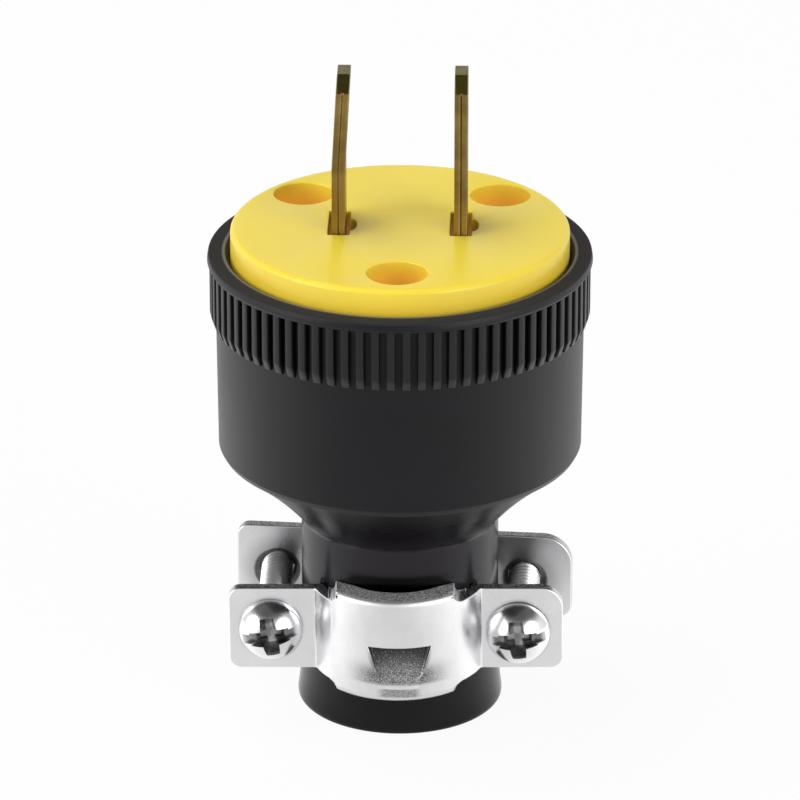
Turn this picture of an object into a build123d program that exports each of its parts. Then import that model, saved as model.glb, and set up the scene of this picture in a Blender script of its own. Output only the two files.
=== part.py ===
from build123d import *
import math
import os

# Straight blade plug with two parallel blades, standing on its cord end.
# Units are millimetres. The origin is the centre of the cord end's bottom face. +Z runs along the
# plug's axis towards the blades, the blades are spaced along X, and the clamp screws' heads face -Y.

# Clearances
SEAT_GAP = 0.1            # between a piece and the bore or face that carries it
BITE_GAP = 0.1            # between a clamp strap and the rubber neck that it dents
THREAD_GAP = 0.05         # radial, between a screw and its tapped hole
HEAD_GAP = 0.01           # under the rim of a clamp screw's head

# Face insert
FACE_RADIUS = 17.7
FACE_PROUD = 2.65         # above the rubber rim
FACE_THICKNESS = 8.7
FACE_EDGE = 0.5
WELL_DIAMETER = 6.3
WELL_DEPTH = 6.2
WELL_FRONT_INSET = 4.9    # from the face's edge to the middle of the front well
WELL_REAR_INSET = 4.05    # the same for the two rear wells
WELL_REAR_ANGLE = 40.7    # degrees from X
SLOT_WIDTH = 2.2
SLOT_LENGTH = 6.6
SLOT_NOTCH_DEPTH = 0.72
SLOT_NOTCH_LENGTH = 3.4
SLOT_NOTCH_SHIFT = 0.35   # from the slot's middle towards the front well

# Rubber body, outside. Its barrel and collar are sized from the face that they hold.
RIM_HEIGHT = 51.15
LIP_DROP = 0.65           # from the rim down to the lip's widest ring
RIB_DROP = 1.15           # from the rim down to the tops of the ribs
RIB_LENGTH = 6.5
BARREL_DROP = 22.05       # from the rim down to the skirt
UNDERSIDE_RISE = 7.8      # from the top of the neck up to the skirt
BARREL_WALL = 1.56        # from the face's edge to the outside of the barrel
BARREL_TAPER = 0.14
SKIRT_INSET = 0.46
SKIRT_EDGE = 0.6
UNDERCUT_DEPTH = 0.4
LIP_PROUD = 0.88
RIM_INSET = 0.94
RIB_PROUD = 0.64
RIB_WIDTH = 0.8
RIB_COUNT = 78
RIB_PHASE = 3.2           # degrees from -Y
RIB_ROOT_DEPTH = 0.2      # how far a rib starts inside the barrel
RIB_FADE = 1.3            # height of the rounded foot of a rib
RIB_FADE_PROUD = 0.34     # where the rounded foot bends most
RIB_FADE_RISE = 0.4
NECK_RADIUS = 10.45
TAIL_FLARE = 0.45
TAIL_FLARE_HEIGHT = 7.0
TAIL_EDGE = 0.5

# Rubber body, inside
CORD_BORE_RADIUS = 6.0
CAVITY_INSET = 0.8        # from the face's radius to the cavity's
CAVITY_DROP = 17.65       # from the rim down to the cavity's straight wall
CAVITY_TAPER_HEIGHT = 13.5
INNER_LIP_INSET = 2.0     # from the face's radius to the inner lip's
INNER_LIP_THICKNESS = 2.0
MOUTH_FLARE = 0.25
MOUTH_DEPTH = 0.8

# Blades
BLADE_PITCH = 12.7
BLADE_SHIFT = 0.7         # from the plug's axis towards the two rear wells
BLADE_WIDTH = 6.35
BLADE_THICKNESS = 1.38
BLADE_REACH = 17.05       # from the plug face to the tip
BLADE_TIP_FLAT = 2.9
BLADE_TIP_BEVEL = 1.55
BLADE_HOLE_DIAMETER = 3.2
BLADE_HOLE_REACH = 11.7
BLADE_FOLD_RADIUS = 0.6
SEAM_WIDTH = 0.08
SEAM_DEPTH = 0.18
LEAN_START = 7.0          # above the plug face, on the left blade
LEAN_ANGLE = 3.2          # degrees, on the left blade
LEAN_RADIUS = 7.0
SHOULDER_WIDTH = 8.8
SHOULDER_HEIGHT = 1.8
LEG_WIDTH = 5.6
FOOT_LENGTH = 7.6
FOOT_BEND_RADIUS = 0.9

# Terminal carrier
CARRIER_FLANGE_THICKNESS = 3.5
BARRIER_THICKNESS = 1.8
BARRIER_HALF_LENGTH = 11.6
BARRIER_DROP = 7.0
POST_RADIUS = 2.9
POST_DROP = 3.0

# Screws inside the plug
TERMINAL_SCREW_RADIUS = 1.7
TERMINAL_HEAD_RADIUS = 3.0
TERMINAL_HEAD_HEIGHT = 2.2
TERMINAL_HEAD_EDGE = 0.55
TERMINAL_SCREW_OFFSET = 4.2   # from the blade to the terminal screw
TERMINAL_TIP_LENGTH = 2.2     # past the blade's foot
WIRE_GAP = 1.8
PLATE_SIZE = 6.2
PLATE_THICKNESS = 1.1
PLATE_CORNER = 0.6
PLATE_LIP = 0.8
PLATE_LIP_HALF_LENGTH = 2.5
ASSEMBLY_SCREW_RADIUS = 1.45
ASSEMBLY_HEAD_RADIUS = 2.7
ASSEMBLY_HEAD_HEIGHT = 1.9
ASSEMBLY_HEAD_EDGE = 0.95
ASSEMBLY_SCREW_LENGTH = 10.0
SCREW_SLOT_WIDTH = 0.8
SCREW_SLOT_DEPTH = 0.9
ASSEMBLY_CROSS_REACH = 1.75

# Clamp straps, in their own frame: ears lie in the XZ plane and the saddle bulges towards -Y
STRAP_THICKNESS = 1.25
STRAP_CENTRE_HEIGHT = 11.25
FRONT_HALF_LENGTH = 17.65
FRONT_BLANK_SHIFT = -0.27     # of the front blank's middle from its saddle's middle, along X
REAR_HALF_LENGTH = 18.07
REAR_BLANK_SHIFT = 0.07
EAR_HEIGHT = 9.3
EAR_CORNER = 1.3
FRONT_EAR_CLIP = 2.3
REAR_EAR_CLIP = 3.2
SADDLE_OUTER_RADIUS = 9.25
SADDLE_BULGE = 6.15       # how far the saddle stands out from the ears' outer faces
SADDLE_HEIGHT = 11.75
SADDLE_HALF_WIDTH = 6.25
SADDLE_CORNER = 0.95
SADDLE_TOP_BEND = 0.6
SADDLE_LOW_BEND = 1.0
FLANGE_DEPTH = 2.6
CREASE_OUTER_FILLET = 0.35
CREASE_INNER_FILLET = 0.9
TOOTH_TOP = 0.47          # above the strap's centre height
TOOTH_SHIFT = 0.25        # from the saddle's middle, along X
TOOTH_DROP = 4.4
TOOTH_HALF_WIDTH_TOP = 3.3
TOOTH_HALF_WIDTH_LOW = 1.9
TOOTH_DEPTH = 2.1
FRONT_EAR_FACE = 6.5      # from the plug's axis to the front strap's inner face
FRONT_STRAP_DROP = 0.17
FRONT_STRAP_ROLL = -0.6   # degrees, left ear down
REAR_EAR_FACE = 6.22
REAR_STRAP_SHIFT = 0.39
REAR_STRAP_SKEW = -4.55   # degrees about the plug's axis

# Clamp screws
FRONT_HOLES = {-1: (13.48, -0.05), 1: (12.74, -0.4)}   # out from the middle and up from the ears' middle
REAR_HOLES = {-1: (13.84, -0.5), 1: (12.87, -0.5)}
CLAMP_SCREW_RADIUS = 1.725
CLAMP_SCREW_LENGTH = 19.0
CLAMP_SCREW_POINT = 0.5
CLAMP_HEAD_RADIUS = 3.4
CLAMP_HEAD_HEIGHT = 2.75
CLAMP_HEAD_RIM = 0.55
CLAMP_SLOT_WIDTH = 1.05
CLAMP_SLOT_DEPTH = 1.1
CLAMP_SLOT_TILT = {-1: 10.5, 1: 6.5}   # degrees up to the right, on the left and on the right screw
CROSS_HALF_LENGTH = 2.1
CROSS_WIDTH = 1.15
CROSS_DEPTH = 1.7
CROSS_TAPER = 12          # degrees
STRAP_HOLE_RADIUS = 1.98
TAPPED_COLLAR_WALL = 0.85
TAPPED_COLLAR_LENGTH = 1.5
TAPPED_FUNNEL_RADIUS = 2.45
TAPPED_FUNNEL_DEPTH = 1.1
TAPPED_FUNNEL_TIP = 1.5   # radius that the funnel would reach if the bore did not cut it short

# Places worked out from the sizes above
BARREL_RADIUS_TOP = FACE_RADIUS + BARREL_WALL
BARREL_RADIUS_LOW = BARREL_RADIUS_TOP - BARREL_TAPER
SKIRT_RADIUS = BARREL_RADIUS_TOP - SKIRT_INSET
RIB_RADIUS = BARREL_RADIUS_TOP + RIB_PROUD
RIB_FADE_RADIUS = BARREL_RADIUS_TOP + RIB_FADE_PROUD
LIP_RADIUS = BARREL_RADIUS_TOP + LIP_PROUD
RIM_RADIUS = LIP_RADIUS - RIM_INSET
TAIL_RADIUS = NECK_RADIUS + TAIL_FLARE
LIP_HEIGHT = RIM_HEIGHT - LIP_DROP
RIB_TOP_HEIGHT = RIM_HEIGHT - RIB_DROP
RIB_FOOT_HEIGHT = RIB_TOP_HEIGHT - RIB_LENGTH
SKIRT_HEIGHT = RIM_HEIGHT - BARREL_DROP
NECK_HEIGHT = SKIRT_HEIGHT - UNDERSIDE_RISE
CAVITY_RADIUS = FACE_RADIUS - CAVITY_INSET
INNER_LIP_RADIUS = FACE_RADIUS - INNER_LIP_INSET
CAVITY_FLOOR = RIM_HEIGHT - CAVITY_DROP
CORD_BORE_LENGTH = CAVITY_FLOOR - CAVITY_TAPER_HEIGHT
FACE_HEIGHT = RIM_HEIGHT + FACE_PROUD
CORE_SPLIT = FACE_HEIGHT - FACE_THICKNESS
LIP_UNDERSIDE = CORE_SPLIT - INNER_LIP_THICKNESS
CARRIER_BOTTOM = LIP_UNDERSIDE - SEAT_GAP - CARRIER_FLANGE_THICKNESS
FOOT_TOP = CARRIER_BOTTOM - SEAT_GAP
FOOT_BOTTOM = FOOT_TOP - BLADE_THICKNESS
PLATE_TOP = FOOT_BOTTOM - WIRE_GAP
PLATE_BOTTOM = PLATE_TOP - PLATE_THICKNESS
WELL_FLOOR = FACE_HEIGHT - WELL_DEPTH
BLADE_X = BLADE_PITCH / 2
TERMINAL_X = BLADE_X + TERMINAL_SCREW_OFFSET
WELL_REAR_SPREAD = (FACE_RADIUS - WELL_REAR_INSET) * math.cos(math.radians(WELL_REAR_ANGLE))
WELL_REAR_REACH = (FACE_RADIUS - WELL_REAR_INSET) * math.sin(math.radians(WELL_REAR_ANGLE))
WELL_PLACES = {
    "front": (0, WELL_FRONT_INSET - FACE_RADIUS),
    "left": (-WELL_REAR_SPREAD, WELL_REAR_REACH),
    "right": (WELL_REAR_SPREAD, WELL_REAR_REACH),
}
EAR_TOP = STRAP_CENTRE_HEIGHT + EAR_HEIGHT / 2
EAR_BOTTOM = STRAP_CENTRE_HEIGHT - EAR_HEIGHT / 2
SADDLE_TOP = STRAP_CENTRE_HEIGHT + SADDLE_HEIGHT / 2
SADDLE_BOTTOM = STRAP_CENTRE_HEIGHT - SADDLE_HEIGHT / 2

# The strap's own Y origin is its ears' inner faces
SADDLE_CENTRE = SADDLE_OUTER_RADIUS - STRAP_THICKNESS - SADDLE_BULGE
SADDLE_INNER_RADIUS = SADDLE_OUTER_RADIUS - STRAP_THICKNESS
FRONT_STRAP_HEIGHT = STRAP_CENTRE_HEIGHT - FRONT_STRAP_DROP
FRONT_STRAP_PLACE = (
    Location((0, -FRONT_EAR_FACE, FRONT_STRAP_HEIGHT), (0, FRONT_STRAP_ROLL, 0))
    * Location((0, 0, -STRAP_CENTRE_HEIGHT))
)
REAR_STRAP_PLACE = Location((REAR_STRAP_SHIFT, REAR_EAR_FACE, 0), (0, 0, 180 + REAR_STRAP_SKEW))


def cylinder_up(radius, low, high, x=0, y=0):
    """A round bar along Z between two heights."""
    return Pos(x, y, (low + high) / 2) * Cylinder(radius, high - low)


def block(x_range, y_range, z_range):
    """A box between two X, two Y and two Z values."""
    sizes = [high - low for low, high in (x_range, y_range, z_range)]
    middle = [(high + low) / 2 for low, high in (x_range, y_range, z_range)]
    return Pos(*middle) * Box(*sizes)


def neck_radius_at(height):
    """The neck's outer radius: straight above the flare, and widening down to the cord end."""
    if height >= TAIL_FLARE_HEIGHT:
        return NECK_RADIUS
    share = 1 - (height - TAIL_EDGE) / (TAIL_FLARE_HEIGHT - TAIL_EDGE)
    return NECK_RADIUS + (TAIL_RADIUS - NECK_RADIUS) * max(0.0, min(1.0, share)) ** 2


def body_outline():
    """Half section of the rubber body, revolved about Z."""
    mid_flare = (TAIL_EDGE + TAIL_FLARE_HEIGHT) / 2
    slope = Vector(SKIRT_RADIUS - NECK_RADIUS, SKIRT_HEIGHT - NECK_HEIGHT)
    inward = Vector(slope.Y, -slope.X).normalized() * -UNDERCUT_DEPTH
    undercut = Vector(NECK_RADIUS, NECK_HEIGHT) + slope / 2 + inward
    seat_radius = FACE_RADIUS + SEAT_GAP
    with BuildLine() as outline:
        Line((CORD_BORE_RADIUS, 0), (TAIL_RADIUS - TAIL_EDGE, 0))
        RadiusArc((TAIL_RADIUS - TAIL_EDGE, 0), (TAIL_RADIUS, TAIL_EDGE), -TAIL_EDGE)
        Spline(
            (TAIL_RADIUS, TAIL_EDGE),
            (neck_radius_at(mid_flare), mid_flare),
            (NECK_RADIUS, TAIL_FLARE_HEIGHT),
        )
        Line((NECK_RADIUS, TAIL_FLARE_HEIGHT), (NECK_RADIUS, NECK_HEIGHT))
        ThreePointArc((NECK_RADIUS, NECK_HEIGHT), undercut, (SKIRT_RADIUS, SKIRT_HEIGHT))
        Polyline(
            (SKIRT_RADIUS, SKIRT_HEIGHT),
            (BARREL_RADIUS_LOW, SKIRT_HEIGHT + SKIRT_EDGE),
            (BARREL_RADIUS_TOP, RIB_FOOT_HEIGHT),
            (BARREL_RADIUS_TOP, RIB_TOP_HEIGHT),
            (RIB_RADIUS, RIB_TOP_HEIGHT),
            (LIP_RADIUS, LIP_HEIGHT),
        )
        TangentArc((RIM_RADIUS, RIM_HEIGHT), (LIP_RADIUS, LIP_HEIGHT), tangent=(1, 0))
        Polyline(
            (RIM_RADIUS, RIM_HEIGHT),
            (seat_radius + MOUTH_FLARE, RIM_HEIGHT),
            (seat_radius, RIM_HEIGHT - MOUTH_DEPTH),
            (seat_radius, CORE_SPLIT),
            (INNER_LIP_RADIUS, CORE_SPLIT),
            (INNER_LIP_RADIUS, LIP_UNDERSIDE),
            (CAVITY_RADIUS, LIP_UNDERSIDE),
            (CAVITY_RADIUS, CAVITY_FLOOR),
            (CORD_BORE_RADIUS, CORD_BORE_LENGTH),
            (CORD_BORE_RADIUS, 0),
        )
    return make_face(outline.edges())


def grip_rib():
    """One collar rib at +X. Its foot rounds over and fades into the barrel."""
    root = BARREL_RADIUS_TOP - RIB_ROOT_DEPTH
    shoulder = (RIB_RADIUS, RIB_FOOT_HEIGHT + RIB_FADE)
    fade = (RIB_FADE_RADIUS, RIB_FOOT_HEIGHT + RIB_FADE_RISE)
    with BuildLine() as profile:
        ThreePointArc((root, RIB_FOOT_HEIGHT), fade, shoulder)
        Polyline(
            shoulder,
            (RIB_RADIUS, RIB_TOP_HEIGHT),
            (root, RIB_TOP_HEIGHT),
            (root, RIB_FOOT_HEIGHT),
        )
    section = Plane.XZ * make_face(profile.edges())
    return extrude(section, amount=RIB_WIDTH / 2, both=True)


def strap_bite(place, low, high):
    """The rubber that one strap pushes out of the way where its ears meet the neck."""
    reach = 2 * NECK_RADIUS
    pressed = block((-reach, reach), (-reach, BITE_GAP), (low - BITE_GAP, high + BITE_GAP))
    inside = cylinder_up(SADDLE_INNER_RADIUS - BITE_GAP, low - 1, high + 1, 0, SADDLE_CENTRE)
    return place * (pressed - inside)


def make_rubber_body():
    """The whole housing: ribbed collar, barrel, undercut, neck, cord bore and inner lip."""
    body = revolve(Plane.XZ * body_outline(), Axis.Z)
    rib = grip_rib()
    step = 360 / RIB_COUNT
    ribs = [Rot(0, 0, -90 + RIB_PHASE + i * step) * rib for i in range(RIB_COUNT)]
    body = body + ribs
    for place in (FRONT_STRAP_PLACE, REAR_STRAP_PLACE):
        body = body - strap_bite(place, EAR_BOTTOM, EAR_TOP)
    return body


def make_face_insert():
    """The yellow disc with screw wells, notched blade slots and shoulder pockets underneath."""
    face = cylinder_up(FACE_RADIUS, CORE_SPLIT, FACE_HEIGHT)
    face = fillet(face.edges().group_by(Axis.Z)[-1], FACE_EDGE)
    for x, y in WELL_PLACES.values():
        face -= cylinder_up(WELL_DIAMETER / 2, WELL_FLOOR, FACE_HEIGHT + 1, x, y)
        face -= cylinder_up(ASSEMBLY_SCREW_RADIUS + SEAT_GAP, CORE_SPLIT - 1, WELL_FLOOR + 1, x, y)
    pocket_side = BLADE_THICKNESS / 2 + 2 * SEAT_GAP
    pocket_end = SHOULDER_WIDTH / 2 + SEAT_GAP
    pocket_top = CORE_SPLIT + SHOULDER_HEIGHT + SEAT_GAP
    for x in (-BLADE_X, BLADE_X):
        slot = Rectangle(SLOT_WIDTH, SLOT_LENGTH)
        slot += Pos(SLOT_WIDTH / 2, -SLOT_NOTCH_SHIFT) * Ellipse(SLOT_NOTCH_DEPTH, SLOT_NOTCH_LENGTH / 2)
        face -= Pos(x, BLADE_SHIFT, CORE_SPLIT - 1) * extrude(slot, amount=FACE_THICKNESS + 2)
        face -= block(
            (x - pocket_side, x + pocket_side),
            (BLADE_SHIFT - pocket_end, BLADE_SHIFT + pocket_end),
            (CORE_SPLIT - 1, pocket_top),
        )
    return face


def blade_outline():
    """Front view of a blade in the YZ plane, from its tip to the underside of its foot."""
    tip = FACE_HEIGHT + BLADE_REACH
    bevel = tip - BLADE_TIP_BEVEL
    shoulder_low = CORE_SPLIT + SEAT_GAP
    shoulder_high = CORE_SPLIT + SHOULDER_HEIGHT
    right_side = [
        (BLADE_TIP_FLAT / 2, tip),
        (BLADE_WIDTH / 2, bevel),
        (BLADE_WIDTH / 2, shoulder_high),
        (SHOULDER_WIDTH / 2, shoulder_high),
        (SHOULDER_WIDTH / 2, shoulder_low),
        (LEG_WIDTH / 2, shoulder_low),
        (LEG_WIDTH / 2, FOOT_BOTTOM - 1),
    ]
    left_side = [(-y, z) for y, z in reversed(right_side)]
    return make_face(Polyline(*right_side, *left_side, close=True))


def make_blade(side, lean):
    """A folded brass blade with its terminal foot. side is -1 or 1, lean is in degrees inwards."""
    mid_foot = (FOOT_TOP + FOOT_BOTTOM) / 2
    lean_height = FACE_HEIGHT + LEAN_START
    tip = FACE_HEIGHT + BLADE_REACH + 1
    tip_x = BLADE_X - (tip - lean_height) * math.tan(math.radians(lean))
    foot_end = BLADE_X + FOOT_LENGTH
    bend = FOOT_BEND_RADIUS + BLADE_THICKNESS / 2
    corners = [(side * foot_end, mid_foot), (side * BLADE_X, mid_foot)]
    if lean:
        corners.append((side * BLADE_X, lean_height))
    corners.append((side * tip_x, tip))
    radii = [bend] + [LEAN_RADIUS] * (len(corners) - 3)
    route = Plane.XZ * FilletPolyline(*corners, radius=radii)
    start = Plane(route @ 0, x_dir=(0, 1, 0), z_dir=route % 0)
    strip = sweep(start * Rectangle(SHOULDER_WIDTH, BLADE_THICKNESS), path=route)
    seam_line = start * Pos(-BLADE_WIDTH / 2, 0) * Rectangle(2 * SEAM_DEPTH, SEAM_WIDTH)
    seam = sweep(seam_line, path=route)
    reach = foot_end + BLADE_THICKNESS
    outline = extrude(Plane.YZ * blade_outline(), amount=reach, both=True)
    blade = strip & outline
    side_edges = blade.edges().filter_by_position(Axis.Y, BLADE_WIDTH / 2 - 0.01, BLADE_WIDTH / 2 + 0.01)
    middle_of_face = FACE_HEIGHT - FACE_THICKNESS / 2
    long_edges = [edge for edge in side_edges if edge.length > BLADE_REACH / 3]
    fold = [edge for edge in long_edges if edge.center().Z > middle_of_face]
    blade = fillet(fold, BLADE_FOLD_RADIUS)
    blade -= seam & block((-reach, reach), (-BLADE_WIDTH, 0), (CORE_SPLIT + SHOULDER_HEIGHT, tip))
    hole = Rot(0, 90, 0) * Cylinder(BLADE_HOLE_DIAMETER / 2, 2 * reach)
    blade -= Pos(0, 0, FACE_HEIGHT + BLADE_HOLE_REACH) * hole
    screw_hole = TERMINAL_SCREW_RADIUS + THREAD_GAP
    blade -= cylinder_up(screw_hole, FOOT_BOTTOM - 1, FOOT_TOP + 1, side * TERMINAL_X)
    return Pos(0, BLADE_SHIFT, 0) * blade


def make_terminal_carrier():
    """The rear half of the core: flange under the rubber lip, boss, barrier and three screw posts."""
    top = CORE_SPLIT
    flange_top = LIP_UNDERSIDE - SEAT_GAP
    carrier = cylinder_up(CAVITY_RADIUS - SEAT_GAP, CARRIER_BOTTOM, flange_top)
    carrier += cylinder_up(INNER_LIP_RADIUS - SEAT_GAP, CARRIER_BOTTOM, top)
    carrier += block(
        (-BARRIER_THICKNESS / 2, BARRIER_THICKNESS / 2),
        (-BARRIER_HALF_LENGTH, BARRIER_HALF_LENGTH),
        (CARRIER_BOTTOM - BARRIER_DROP, CARRIER_BOTTOM),
    )
    for x, y in WELL_PLACES.values():
        carrier += cylinder_up(POST_RADIUS, CARRIER_BOTTOM - POST_DROP, CARRIER_BOTTOM, x, y)
    tip = WELL_FLOOR - ASSEMBLY_SCREW_LENGTH - SEAT_GAP
    for x, y in WELL_PLACES.values():
        carrier -= cylinder_up(ASSEMBLY_SCREW_RADIUS + THREAD_GAP, tip, top + 1, x, y)
    bend = FOOT_BEND_RADIUS + BLADE_THICKNESS
    leg_side = BLADE_THICKNESS / 2 + SEAT_GAP
    leg_end = LEG_WIDTH / 2 + SEAT_GAP
    recess_top = FOOT_TOP + TERMINAL_TIP_LENGTH + SEAT_GAP
    for side in (-1, 1):
        leg = block((-leg_side, leg_side), (-leg_end, leg_end), (CARRIER_BOTTOM - 1, top + 1))
        relief = block((0, bend), (-leg_end, leg_end), (CARRIER_BOTTOM - 1, CARRIER_BOTTOM + bend))
        carrier -= Pos(side * BLADE_X, BLADE_SHIFT, 0) * leg
        carrier -= Pos(side * BLADE_X, BLADE_SHIFT, 0) * (relief if side > 0 else mirror(relief, Plane.YZ))
        hole = TERMINAL_SCREW_RADIUS + 2 * SEAT_GAP
        carrier -= cylinder_up(hole, CARRIER_BOTTOM - 1, recess_top, side * TERMINAL_X, BLADE_SHIFT)
    return carrier


def make_terminal_screw(side):
    """Binding screw, head down, through the pressure plate into the blade's foot."""
    x = side * TERMINAL_X
    head_top = PLATE_BOTTOM
    head_low = head_top - TERMINAL_HEAD_HEIGHT
    screw = cylinder_up(TERMINAL_HEAD_RADIUS, head_low, head_top, x)
    screw = fillet(screw.edges().group_by(Axis.Z)[0], TERMINAL_HEAD_EDGE)
    screw += cylinder_up(TERMINAL_SCREW_RADIUS, head_top, FOOT_TOP + TERMINAL_TIP_LENGTH, x)
    width = SCREW_SLOT_WIDTH / 2
    screw -= block(
        (x - TERMINAL_HEAD_RADIUS, x + TERMINAL_HEAD_RADIUS),
        (-width, width),
        (head_low - 1, head_low + SCREW_SLOT_DEPTH),
    )
    return Pos(0, BLADE_SHIFT, 0) * screw


def make_wire_plate(side):
    """Square pressure plate that rests on the binding screw's head, with its outer edge turned up."""
    x = side * TERMINAL_X
    half = PLATE_SIZE / 2
    plate = block((x - half, x + half), (-half, half), (PLATE_BOTTOM, PLATE_TOP))
    plate = fillet(plate.edges().filter_by(Axis.Z), PLATE_CORNER)
    lip_x = (x - PLATE_LIP_HALF_LENGTH, x + PLATE_LIP_HALF_LENGTH)
    plate += block(lip_x, (half - PLATE_LIP, half), (PLATE_TOP, PLATE_TOP + PLATE_LIP))
    plate -= cylinder_up(TERMINAL_SCREW_RADIUS + SEAT_GAP, PLATE_BOTTOM - 1, PLATE_TOP + 1, x)
    return Pos(0, BLADE_SHIFT, 0) * plate


def make_assembly_screw(place):
    """Long screw on the floor of a well, into its post on the carrier."""
    x, y = place
    head_top = WELL_FLOOR + ASSEMBLY_HEAD_HEIGHT
    screw = cylinder_up(ASSEMBLY_HEAD_RADIUS, WELL_FLOOR, head_top, x, y)
    screw = fillet(screw.edges().group_by(Axis.Z)[-1], ASSEMBLY_HEAD_EDGE)
    screw += cylinder_up(ASSEMBLY_SCREW_RADIUS, WELL_FLOOR - ASSEMBLY_SCREW_LENGTH, WELL_FLOOR, x, y)
    arm = ASSEMBLY_CROSS_REACH
    width = SCREW_SLOT_WIDTH / 2
    floor = head_top - SCREW_SLOT_DEPTH
    screw -= block((x - arm, x + arm), (y - width, y + width), (floor, head_top + 1))
    screw -= block((x - width, x + width), (y - arm, y + arm), (floor, head_top + 1))
    return screw


def strap_sheet(low, high):
    """Ears and saddle as one bent sheet of constant height, in the strap's own frame."""
    outer = Pos(0, SADDLE_CENTRE) * Circle(SADDLE_OUTER_RADIUS)
    inner = Pos(0, SADDLE_CENTRE) * Circle(SADDLE_INNER_RADIUS)
    reach = 2 * SADDLE_OUTER_RADIUS
    above = Pos(0, reach / 2) * Rectangle(2 * reach, reach)
    ears = Pos(0, -STRAP_THICKNESS / 2) * Rectangle(2 * reach, STRAP_THICKNESS)
    section = (outer - above) + ears - inner
    outer_crease = [c for c in section.vertices() if on_crease(c, SADDLE_OUTER_RADIUS, -STRAP_THICKNESS)]
    section = fillet(outer_crease, CREASE_OUTER_FILLET)
    inner_crease = [c for c in section.vertices() if on_crease(c, SADDLE_INNER_RADIUS, 0)]
    section = fillet(inner_crease, CREASE_INNER_FILLET)
    return Pos(0, 0, low) * extrude(section, amount=high - low)


def on_crease(vertex, radius, y):
    """Whether a corner of the strap's section is where a saddle circle meets an ear face."""
    x = math.sqrt(radius**2 - (SADDLE_CENTRE - y) ** 2)
    return abs(abs(vertex.X) - x) < 0.01 and abs(vertex.Y - y) < 0.01


def saddle_channel(neck):
    """The wide middle of the saddle: a curved channel with its top and bottom edges turned in."""
    outer, wall, flange = SADDLE_OUTER_RADIUS, SADDLE_INNER_RADIUS, SADDLE_OUTER_RADIUS - FLANGE_DEPTH
    low, top, sheet = SADDLE_BOTTOM, SADDLE_TOP, STRAP_THICKNESS
    with BuildLine() as profile:
        Polyline((flange, top), (flange, top - sheet), (wall, top - sheet), (wall, low + sheet))
        Polyline((wall, low + sheet), (flange, low + sheet), (flange, low))
        Line((flange, low), (outer - SADDLE_LOW_BEND, low))
        RadiusArc((outer - SADDLE_LOW_BEND, low), (outer, low + SADDLE_LOW_BEND), -SADDLE_LOW_BEND)
        Line((outer, low + SADDLE_LOW_BEND), (outer, top - SADDLE_TOP_BEND))
        RadiusArc((outer, top - SADDLE_TOP_BEND), (outer - SADDLE_TOP_BEND, top), -SADDLE_TOP_BEND)
        Line((outer - SADDLE_TOP_BEND, top), (flange, top))
    channel = Pos(0, SADDLE_CENTRE) * revolve(Plane.XZ * make_face(profile.edges()), Axis.Z)
    half_width = SADDLE_HALF_WIDTH + SADDLE_CORNER
    window = block((-half_width, half_width), (-2 * outer, -STRAP_THICKNESS), (low - 1, top + 1))
    return (channel & window) - neck


def tooth_prism(extra):
    """The trapezium of the pressed tooth in front view, grown by extra at its sides, cut through in Y."""
    top = STRAP_CENTRE_HEIGHT + TOOTH_TOP
    low = top - TOOTH_DROP
    top_half = TOOTH_HALF_WIDTH_TOP + extra
    low_half = TOOTH_HALF_WIDTH_LOW + extra
    corners = [(-top_half, top), (top_half, top), (low_half, low - extra), (-low_half, low - extra)]
    face = Pos(TOOTH_SHIFT, 0) * make_face(Polyline(*corners, close=True))
    return extrude(Plane.XZ * face, amount=2 * SADDLE_OUTER_RADIUS)


def tooth_slab(near, far):
    """The space between two surfaces that slope from the saddle's crown in towards the neck."""
    top = STRAP_CENTRE_HEIGHT + TOOTH_TOP
    low = top - TOOTH_DROP
    crown = SADDLE_CENTRE - SADDLE_OUTER_RADIUS
    corners = [
        (crown + near, low - 1),
        (crown + near, low),
        (crown + near + TOOTH_DEPTH, top),
        (crown + far + TOOTH_DEPTH, top),
        (crown + far, low),
        (crown + far, low - 1),
    ]
    face = make_face(Polyline(*corners, close=True))
    return extrude(Plane.YZ * face, amount=SADDLE_OUTER_RADIUS, both=True)


def strap_outline(half_length, clip_side, clip):
    """Front view of the stamping: ears with rounded corners, one of them wider, and the taller saddle."""
    ears = Pos(0, STRAP_CENTRE_HEIGHT) * Rectangle(2 * half_length, EAR_HEIGHT)
    clipped = [c for c in ears.vertices() if c.X * clip_side > 0 and c.Y > STRAP_CENTRE_HEIGHT]
    ears = fillet(clipped, clip)
    plain = [c for c in ears.vertices() if c.X * clip_side < 0 or c.Y < EAR_BOTTOM + EAR_CORNER]
    ears = fillet(plain, EAR_CORNER)
    outline = ears + Pos(0, STRAP_CENTRE_HEIGHT) * Rectangle(2 * SADDLE_HALF_WIDTH, SADDLE_HEIGHT)
    beside_saddle = [c for c in outline.vertices() if abs(abs(c.X) - SADDLE_HALF_WIDTH) < 0.01]
    notches = [c for c in beside_saddle if min(abs(c.Y - EAR_TOP), abs(c.Y - EAR_BOTTOM)) < 0.01]
    return fillet(notches, SADDLE_CORNER)


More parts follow.
